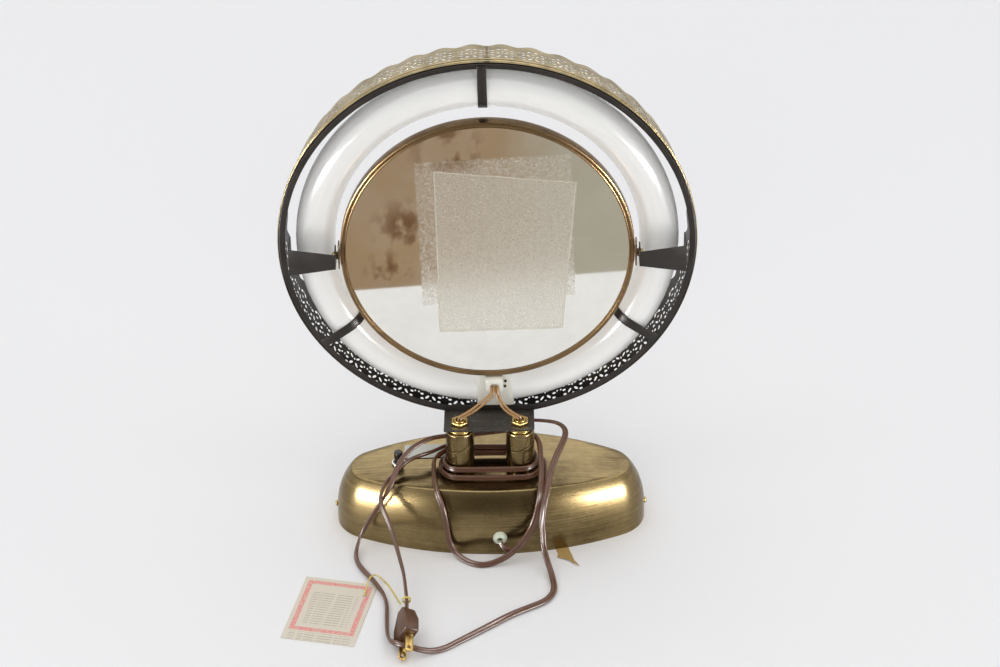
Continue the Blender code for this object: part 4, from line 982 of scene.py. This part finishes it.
class MIRROR_OT_ring(bpy.types.Operator):
    """Bronzed hoop and the pierced brass gallery round it"""
    bl_idname = "mirror.ring"
    bl_label = "Hoop and gallery"

    def hoop(self):
        r, t, deep, soft = HOOP_R, 0.9 * MM, HOOP[1][1] - HOOP[0][1], 0.35 * MM
        lip = 4.3 * MM
        profile = [(r - soft, 0), (r, soft), (r, deep - soft), (r - soft, deep), (r - t + 0.1 * MM, deep),
                   (r - t, deep - 0.1 * MM), (r - t, t), (r - lip, t), (r - lip - 0.2 * MM, t / 2),
                   (r - lip, 0)]
        bm = turn_profile(profile, 240, "Y")
        squash_hoop(bm, 0)
        finished("rolled_hoop", bm, "Bronzed steel", "stand", ("ring_hoop",), 40)

    def unit(self, pitch):
        """One flat scallop with its holes, X across and Y along the depth."""
        bm = bmesh.new()
        start = 0.7 * MM
        free = [((i / 12 - 0.5) * pitch, scallop_edge(i / 12 - 0.5)) for i in range(13)]
        back = [((0.5 - i / 6) * pitch, start) for i in range(7)]
        side = [start + (scallop_edge(0.5) - start) * i / 4 for i in range(1, 4)]
        outline = [*free, *[(pitch / 2, y) for y in reversed(side)], *back,
                   *[(-pitch / 2, y) for y in side]]
        loops = [outline] + [[(x * MM, y * MM) for x, y in hole] for hole in lace_holes()]
        edges = []
        for loop in loops:
            verts = [bm.verts.new((x, y, 0)) for x, y in loop]
            edges += [bm.edges.new((verts[i - 1], verts[i])) for i in range(len(verts))]
        bmesh.ops.triangle_fill(bm, use_beauty=True, use_dissolve=False, edges=edges)
        return bm

    def gallery(self):
        pitch = FULL_TURN / SCALLOPS * BAND_REAR_R
        bm = self.unit(pitch)
        first = bm.verts[:] + bm.edges[:] + bm.faces[:]
        for i in range(1, SCALLOPS):
            made = bmesh.ops.duplicate(bm, geom=first)["geom"]
            verts = [v for v in made if isinstance(v, bmesh.types.BMVert)]
            bmesh.ops.translate(bm, verts=verts, vec=(pitch * i, 0, 0))
        bmesh.ops.remove_doubles(bm, verts=bm.verts, dist=1e-6)
        for face in bm.faces:
            if face.normal.z < 0:
                face.normal_flip()
        made = bmesh.ops.extrude_face_region(bm, geom=bm.faces[:])["geom"]
        raised = {v for v in made if isinstance(v, bmesh.types.BMVert)}
        for vert in bm.verts:
            r = band_radius(vert.co.y) - (0 if vert in raised else LACE_T)
            angle = SCALLOP_PHASE + vert.co.x / BAND_REAR_R
            vert.co = (r * math.cos(angle), vert.co.y, r * math.sin(angle))
        close_up(bm)
        squash_hoop(bm, BAND_REAR_R - 0.5 * MM)
        finished("pierced_gallery", bm, "Gallery brass", "stand", ("gallery_band",), 35)

    def ribs(self):
        """Two raised cords round the plain part of the gallery."""
        bm = bmesh.new()
        r = BAND_REAR_R
        for y, fat in ((3.2 * MM, 0.8 * MM), (6.4 * MM, 0.6 * MM)):
            part = turn_profile([(r + u, y + v) for u, v in round_section(fat, 8, wide=0.7)], 220, "Y")
            mesh = bpy.data.meshes.new("part")
            part.to_mesh(mesh)
            part.free()
            bm.from_mesh(mesh)
            bpy.data.meshes.remove(mesh)
        squash_hoop(bm, 0)
        finished("gallery_ribs", bm, "Gallery brass", "stand", (), 60)

    def execute(self, context):
        self.hoop()
        self.gallery()
        self.ribs()
        for side in ("left", "right"):
            rounded_copy(f"arm_{side}", 0.3, "Bronzed steel")
            rounded_copy(f"pivot_screw_{side}", 0.2, "Bright brass")
        for name in ("top", "left", "right"):
            rounded_copy(f"lamp_clip_{name}", 0.15, "Bronzed steel", angle=50)
        return {"FINISHED"}


# ---------------------------------------------------------------- lamp

LAMP_BASE_ANGLE = math.radians(-88.1)
LAMP_GAP = math.radians(5.9)                # half of the angle between the tube's ends
LEAD_R = 1.0 * MM


class MIRROR_OT_lamp(bpy.types.Operator):
    """Circular fluorescent tube, its base, connector and leads"""
    bl_idname = "mirror.lamp"
    bl_label = "Lamp"

    leads = {
        "left_a": ((1.8, -0.6, 131.4), (1.75, -3.4, 130.0), (0.7, -6.2, 127.0), (-4.4, -7.8, 122.6),
                   (-11.2, -9.4, 117.0), (-18.6, -10.8, 111.9), (-24.2, -11.6, 108.7), (-25.9, -12, 104.5)),
        "left_b": ((3.6, -2.2, 131.2), (3.6, -4.8, 129.2), (1.9, -6.8, 125.0), (-3.0, -8.0, 120.0),
                   (-9.8, -9.4, 114.6), (-16.6, -10.6, 110.2), (-22.0, -11.4, 107.6), (-23.6, -12, 104.3)),
        "right_a": ((5.0, -0.6, 131.2), (5.2, -2.6, 129.0), (6.0, -5.4, 125.6), (7.8, -7.8, 120.6),
                    (11.4, -9.6, 114.8), (16.8, -10.8, 110.2), (22.0, -11.6, 107.6), (23.6, -12, 104.3)),
        "right_b": ((6.7, -2.2, 131.3), (6.95, -5.2, 129.2), (8.4, -7.2, 124.8), (11.0, -8.6, 119.4),
                    (15.2, -9.6, 114.2), (20.2, -10.8, 110.6), (24.4, -11.6, 108.3), (25.9, -12, 104.8)),
    }

    def tube(self):
        bm = bmesh.new()
        bmesh.ops.create_circle(bm, cap_ends=True, segments=40, radius=LAMP_TUBE_R)
        bmesh.ops.translate(bm, verts=bm.verts, vec=(LAMP_RING_R, 0, 0))
        bmesh.ops.rotate(bm, verts=bm.verts, cent=(0, 0, 0),
                         matrix=Matrix.Rotation(-(LAMP_BASE_ANGLE + LAMP_GAP), 3, "Y"))
        bmesh.ops.spin(bm, geom=bm.verts[:] + bm.edges[:] + bm.faces[:], cent=(0, 0, 0), axis=(0, -1, 0),
                       angle=FULL_TURN - 2 * LAMP_GAP, steps=200)
        bmesh.ops.translate(bm, verts=bm.verts, vec=LAMP_CENTRE)
        close_up(bm)
        finished("fluorescent_tube", bm, "Phosphor glass", "stand", ("lamp_tube",), 50)

    def execute(self, context):
        self.tube()
        rounded_copy("lamp_base", 0.9, "Ivory plastic", segments=3, angle=25)
        rounded_copy("lamp_connector", 0.35, "Ivory plastic", angle=35)
        for number in range(1, 5):
            repaint(f"lamp_pin_{number}", "Bright brass")
        for number in (1, 2):
            rounded_copy(f"lamp_base_screw_{number}", 0.15, "Bronzed steel")
        for name, route in self.leads.items():
            last = route[-1][0]
            x = math.copysign(25.95 if abs(last) > 24.8 else 23.65, last)
            points = smooth_route([*route, *[(x, -12, z) for z in (98, 66, 41)]], 1.5 * MM)
            bm = sweep(points, round_section(LEAD_R, 12))
            finished(f"lamp_lead_{name}", bm, "Lead insulation", "stand", (f"lead_{name}",), 60)
        return {"FINISHED"}


# ---------------------------------------------------------------- mirror

class MIRROR_OT_mirror(bpy.types.Operator):
    """Two-sided mirror in its brass rim, on its pivots"""
    bl_idname = "mirror.mirror"
    bl_label = "Mirror"

    def execute(self, context):
        r = MIRROR_R
        deep = RIM[1][1] - RIM[0][1]
        lip = 4.7 * MM
        half = ((4.7, 0.45), (4.45, 0.12), (3.9, 0), (3.4, 0.2), (3.1, 0.5), (2.8, 0.2), (1.6, 0.0),
                (0.7, 0.12), (0.2, 0.5), (0, 1.2))
        outer = [(r - x * MM, y * MM) for x, y in half]
        far = [(r - x * MM, deep - y * MM) for x, y in reversed(half)]
        inner = [(r - lip, deep - 0.8 * MM), (r - 0.8 * MM, deep - 0.8 * MM), (r - 0.8 * MM, 0.8 * MM),
                 (r - lip, 0.8 * MM)]
        bm = turn_profile([*outer, *far, *inner], 200, "Y", MIRROR_CENTRE)
        finished("mirror_rim", bm, "Rim brass", "mirror", ("mirror_frame",), 35)
        for name, mat in (("rear", "Aged mirror"), ("front", "Clean mirror")):
            repaint(f"mirror_glass_{name}", mat)
        repaint("mirror_spacer", "Fibreboard")
        for side in ("left", "right"):
            rounded_copy(f"pivot_ear_{side}", 0.25, "Rim brass", "mirror")
        return {"FINISHED"}


# ---------------------------------------------------------------- papers and string

class MIRROR_OT_papers(bpy.types.Operator):
    """Blank card on its string, label on the base and a torn scrap"""
    bl_idname = "mirror.papers"
    bl_label = "Papers"

    def execute(self, context):
        repaint("hang_tag", "Printed card")
        rounded_copy("blank_label", 0.05, "Faded label")

        points = relaxed(smooth_route(TAG_STRING, 1.0 * MM), 2)
        r = 0.55 * MM
        string = sweep(points, round_section(r, 10, 1.25, 0.8), lambda i: i * 0.55)
        piece = finished("card_string", string, "Yellow string", "stand", ("tag_string",), 80)
        self.bands()
        self.scrap()
        return {"FINISHED"}

    def bands(self):
        """Turns of string tied round the cord above the plug."""
        around = relaxed(smooth_route(CORD_FREE, 3 * MM), 2)
        target = Vector((-68.4, -137.0, 17.2)) * MM
        at = min(range(len(around)), key=lambda i: (around[i] - target).length)
        centre = around[at]
        along = (around[at + 1] - around[at - 1]).normalized()
        side = along.cross(Vector((0, 0, 1))).normalized()
        lift = side.cross(along)
        points = []
        for i in range(91):
            turn = FULL_TURN * i / 30
            points.append(centre + along * (i / 90 - 0.5) * 2.6 * MM
                          + side * 3.2 * MM * math.cos(turn) + lift * 2.4 * MM * math.sin(turn))
        finished("string_band", sweep(points, round_section(0.45 * MM, 8)), "Yellow string", "stand", (), 80)

    def scrap(self):
        """A torn strip of ochre paper that sticks out from under the base."""
        outline = ((53.7, -47.5), (58.5, -45.0), (63.9, -43.9), (64.6, -50.0), (66.8, -58.0), (68.1, -65.5),
                   (70.4, -70.5), (73.0, -74.8), (69.0, -71.8), (64.5, -66.5), (60.0, -64.0),
                   (54.3, -61.4), (55.2, -56.0), (53.9, -52.0))
        bm = bmesh.new()
        verts = [bm.verts.new((x * MM, y * MM, 0.0003)) for x, y in outline]
        bm.faces.new(verts)
        bmesh.ops.triangulate(bm, faces=bm.faces)
        bmesh.ops.subdivide_edges(bm, edges=bm.edges, cuts=3, use_grid_fill=True)
        for vert in bm.verts:
            free = max(0.0, (-56 * MM - vert.co.y)) / (19 * MM)
            wave = noise.noise(vert.co * 260)
            vert.co.z += free * (2.2 * MM + 1.6 * MM * wave) + 0.1 * MM
        bmesh.ops.recalc_face_normals(bm, faces=bm.faces)
        bmesh.ops.solidify(bm, geom=bm.faces[:], thickness=0.12 * MM)
        low = min(v.co.z for v in bm.verts)
        bmesh.ops.translate(bm, verts=bm.verts, vec=(0, 0, 0.00005 - low))
        finished("torn_paper", bm, "Ochre paper", "stand", (), 60)


# ---------------------------------------------------------------- stage

class MIRROR_OT_stage(bpy.types.Operator):
    """Pale floor, soft lights and the camera"""
    bl_idname = "mirror.stage"
    bl_label = "Studio"

    def plane(self, name, corners, colour, rough=0.6):
        """A flat sheet of the stage."""
        bm = bmesh.new()
        bm.faces.new([bm.verts.new(corner) for corner in corners])
        mesh = bpy.data.meshes.new(name)
        bm.to_mesh(mesh)
        bm.free()
        obj = bpy.data.objects.new(name, mesh)
        bpy.context.scene.collection.objects.link(obj)
        mat = bpy.data.materials.new(name)
        mat.use_nodes = True
        shader = mat.node_tree.nodes["Principled BSDF"]
        shader.inputs["Base Color"].default_value = (*colour, 1)
        shader.inputs["Roughness"].default_value = rough
        shader.inputs["Specular IOR Level"].default_value = 0.2
        mesh.materials.append(mat)
        return obj

    def room_glow(self, mat):
        """What the glass mirrors beyond the table: brown on one side, grey on the other."""
        g = Graph(mat.node_tree)
        place = g.node("ShaderNodeTexCoord").outputs["Object"]
        across = g.parts(place)[0]
        cloud = g.noise(place, 2.2, 3.0, 0.5)
        brown = g.mix(cloud, (0.42, 0.29, 0.17), (0.26, 0.175, 0.10))
        grey = g.mix(cloud, (0.46, 0.43, 0.35), (0.36, 0.33, 0.26))
        shader = mat.node_tree.nodes["Principled BSDF"]
        middle = g.mix(g.ramp(across, -0.02, 0.16), brown, grey)
        sides = g.ramp(g.math("ABSOLUTE", across), 0.40, 0.95)
        g.put(shader.inputs["Emission Color"], g.mix(sides, middle, (1.0, 0.97, 0.92)))
        shader.inputs["Emission Strength"].default_value = 0.95

    def light(self, name, place, aim, size, power):
        data = bpy.data.lights.new(name, "AREA")
        data.shape = "RECTANGLE"
        data.size, data.size_y = size
        data.energy = power
        obj = bpy.data.objects.new(name, data)
        obj.location = place
        obj.rotation_euler = (Vector(aim) - Vector(place)).to_track_quat("-Z", "Y").to_euler()
        bpy.context.scene.collection.objects.link(obj)
        return obj

    def world(self, scene):
        """Even light from all round, with a darker room for polished metal to mirror."""
        world = bpy.data.worlds.new("Studio")
        scene.world = world
        world.use_nodes = True
        g = Graph(world.node_tree)
        world.node_tree.nodes.clear()
        seen = g.node("ShaderNodeLightPath").outputs
        pale = g.node("ShaderNodeBackground", {"Color": (0.93, 0.935, 0.95), "Strength": 1.0})
        fill = g.node("ShaderNodeBackground", {"Color": (0.98, 0.985, 1.0), "Strength": 0.28})
        place = g.node("ShaderNodeTexCoord").outputs["Generated"]
        far = g.vector("DOT_PRODUCT", place, (0, 0.55, 1.0))
        room = g.mix(g.ramp(far, -0.25, 0.75), (0.11, 0.09, 0.065), (0.92, 0.92, 0.94))
        side = g.math("ABSOLUTE", g.parts(place)[0])
        lit = g.mix(g.ramp(side, 0.30, 0.62), room, (1.0, 0.98, 0.95))
        gloss = g.node("ShaderNodeBackground", {"Color": lit, "Strength": 0.95})
        first = g.node("ShaderNodeMixShader", {0: seen["Is Glossy Ray"], 1: fill.outputs[0],
                                               2: gloss.outputs[0]})
        both = g.node("ShaderNodeMixShader", {0: seen["Is Camera Ray"], 1: first.outputs[0],
                                              2: pale.outputs[0]})
        g.node("ShaderNodeOutputWorld", {"Surface": both.outputs[0]})

    def execute(self, context):
        look = settings(context, "stage")
        scene = context.scene
        scene.view_settings.view_transform = "Standard"
        self.world(scene)
        left, right, tilt = -2.6, 2.6, -0.117
        edge = [(x, -0.371 + tilt * x, 0) for x in (left, right)]
        floor = tuple(look.floor)
        self.plane("floor", [edge[0], edge[1], (right, 3.0, 0), (left, 3.0, 0)], floor)
        near = self.plane("near_floor", [(left, -3.0, 0), (right, -3.0, 0), edge[1], edge[0]], floor)
        near.visible_glossy = False
        room = self.plane("dark_room", [(-4, -5, -0.9), (4, -5, -0.9), (4, 0, -0.9), (-4, 0, -0.9)],
                          (0, 0, 0), 0.9)
        self.room_glow(room.data.materials[0])
        for part in ("camera", "diffuse", "shadow", "transmission"):
            setattr(room, f"visible_{part}", False)
        for name, side, power in (("left", -1.55, 62), ("right", 1.55, 58)):
            glint = self.light(name, (side, -1.2, 0.18), (0, 0, 0.05), (0.9, 0.32), power)
            glint.visible_diffuse = False
        self.light("top", (-0.2, 1.8, 3.4), (-0.2, 1.8, 0), (8.0, 8.0), 200)
        front = self.light("front", (0, -2.6, 1.3), (0, 0, 0.2), (3.0, 2.0), 29)
        front.visible_glossy = False

        lens = bpy.data.cameras.new("camera")
        lens.lens = look.focal
        lens.sensor_width = 36
        camera = bpy.data.objects.new("camera", lens)
        turn = Matrix.Rotation(math.pi / 2 - look.pitch, 4, "X") @ Matrix.Rotation(look.roll, 4, "Z")
        camera.matrix_world = Matrix.Translation(look.place) @ turn
        scene.collection.objects.link(camera)
        scene.camera = camera
        return {"FINISHED"}


# ---------------------------------------------------------------- panel and run

OPERATORS = (MIRROR_OT_stage, MIRROR_OT_plug, MIRROR_OT_cord, MIRROR_OT_base, MIRROR_OT_posts,
             MIRROR_OT_ring, MIRROR_OT_lamp, MIRROR_OT_mirror, MIRROR_OT_papers)
GROUPS = {"metal": MIRROR_PG_metal, "cord": MIRROR_PG_cord, "lamp": MIRROR_PG_lamp,
          "paper": MIRROR_PG_paper, "stage": MIRROR_PG_stage}


class MIRROR_PT_panel(bpy.types.Panel):
    """Lists the mirror's pieces and their settings"""
    bl_label = "Vanity mirror"
    bl_space_type = "VIEW_3D"
    bl_region_type = "UI"
    bl_category = "Mirror"

    def draw(self, context):
        for name, group in GROUPS.items():
            box = self.layout.box()
            for key in group.__annotations__:
                box.prop(settings(context, name), key)
        for operator in OPERATORS:
            self.layout.operator(operator.bl_idname)


def register():
    for group in GROUPS.values():
        bpy.utils.register_class(group)
    for name, group in GROUPS.items():
        setattr(bpy.types.Scene, f"mirror_{name}", bpy.props.PointerProperty(type=group))
    for operator in OPERATORS:
        bpy.utils.register_class(operator)
    bpy.utils.register_class(MIRROR_PT_panel)


def unregister():
    bpy.utils.unregister_class(MIRROR_PT_panel)
    for operator in reversed(OPERATORS):
        bpy.utils.unregister_class(operator)
    for name, group in GROUPS.items():
        delattr(bpy.types.Scene, f"mirror_{name}")
        bpy.utils.unregister_class(group)


def main():
    register()
    make_groups()
    make_materials(bpy.context)
    for operator in OPERATORS:
        getattr(bpy.ops.mirror, operator.bl_idname.partition(".")[2])()
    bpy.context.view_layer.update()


if __name__ == "__main__":
    main()
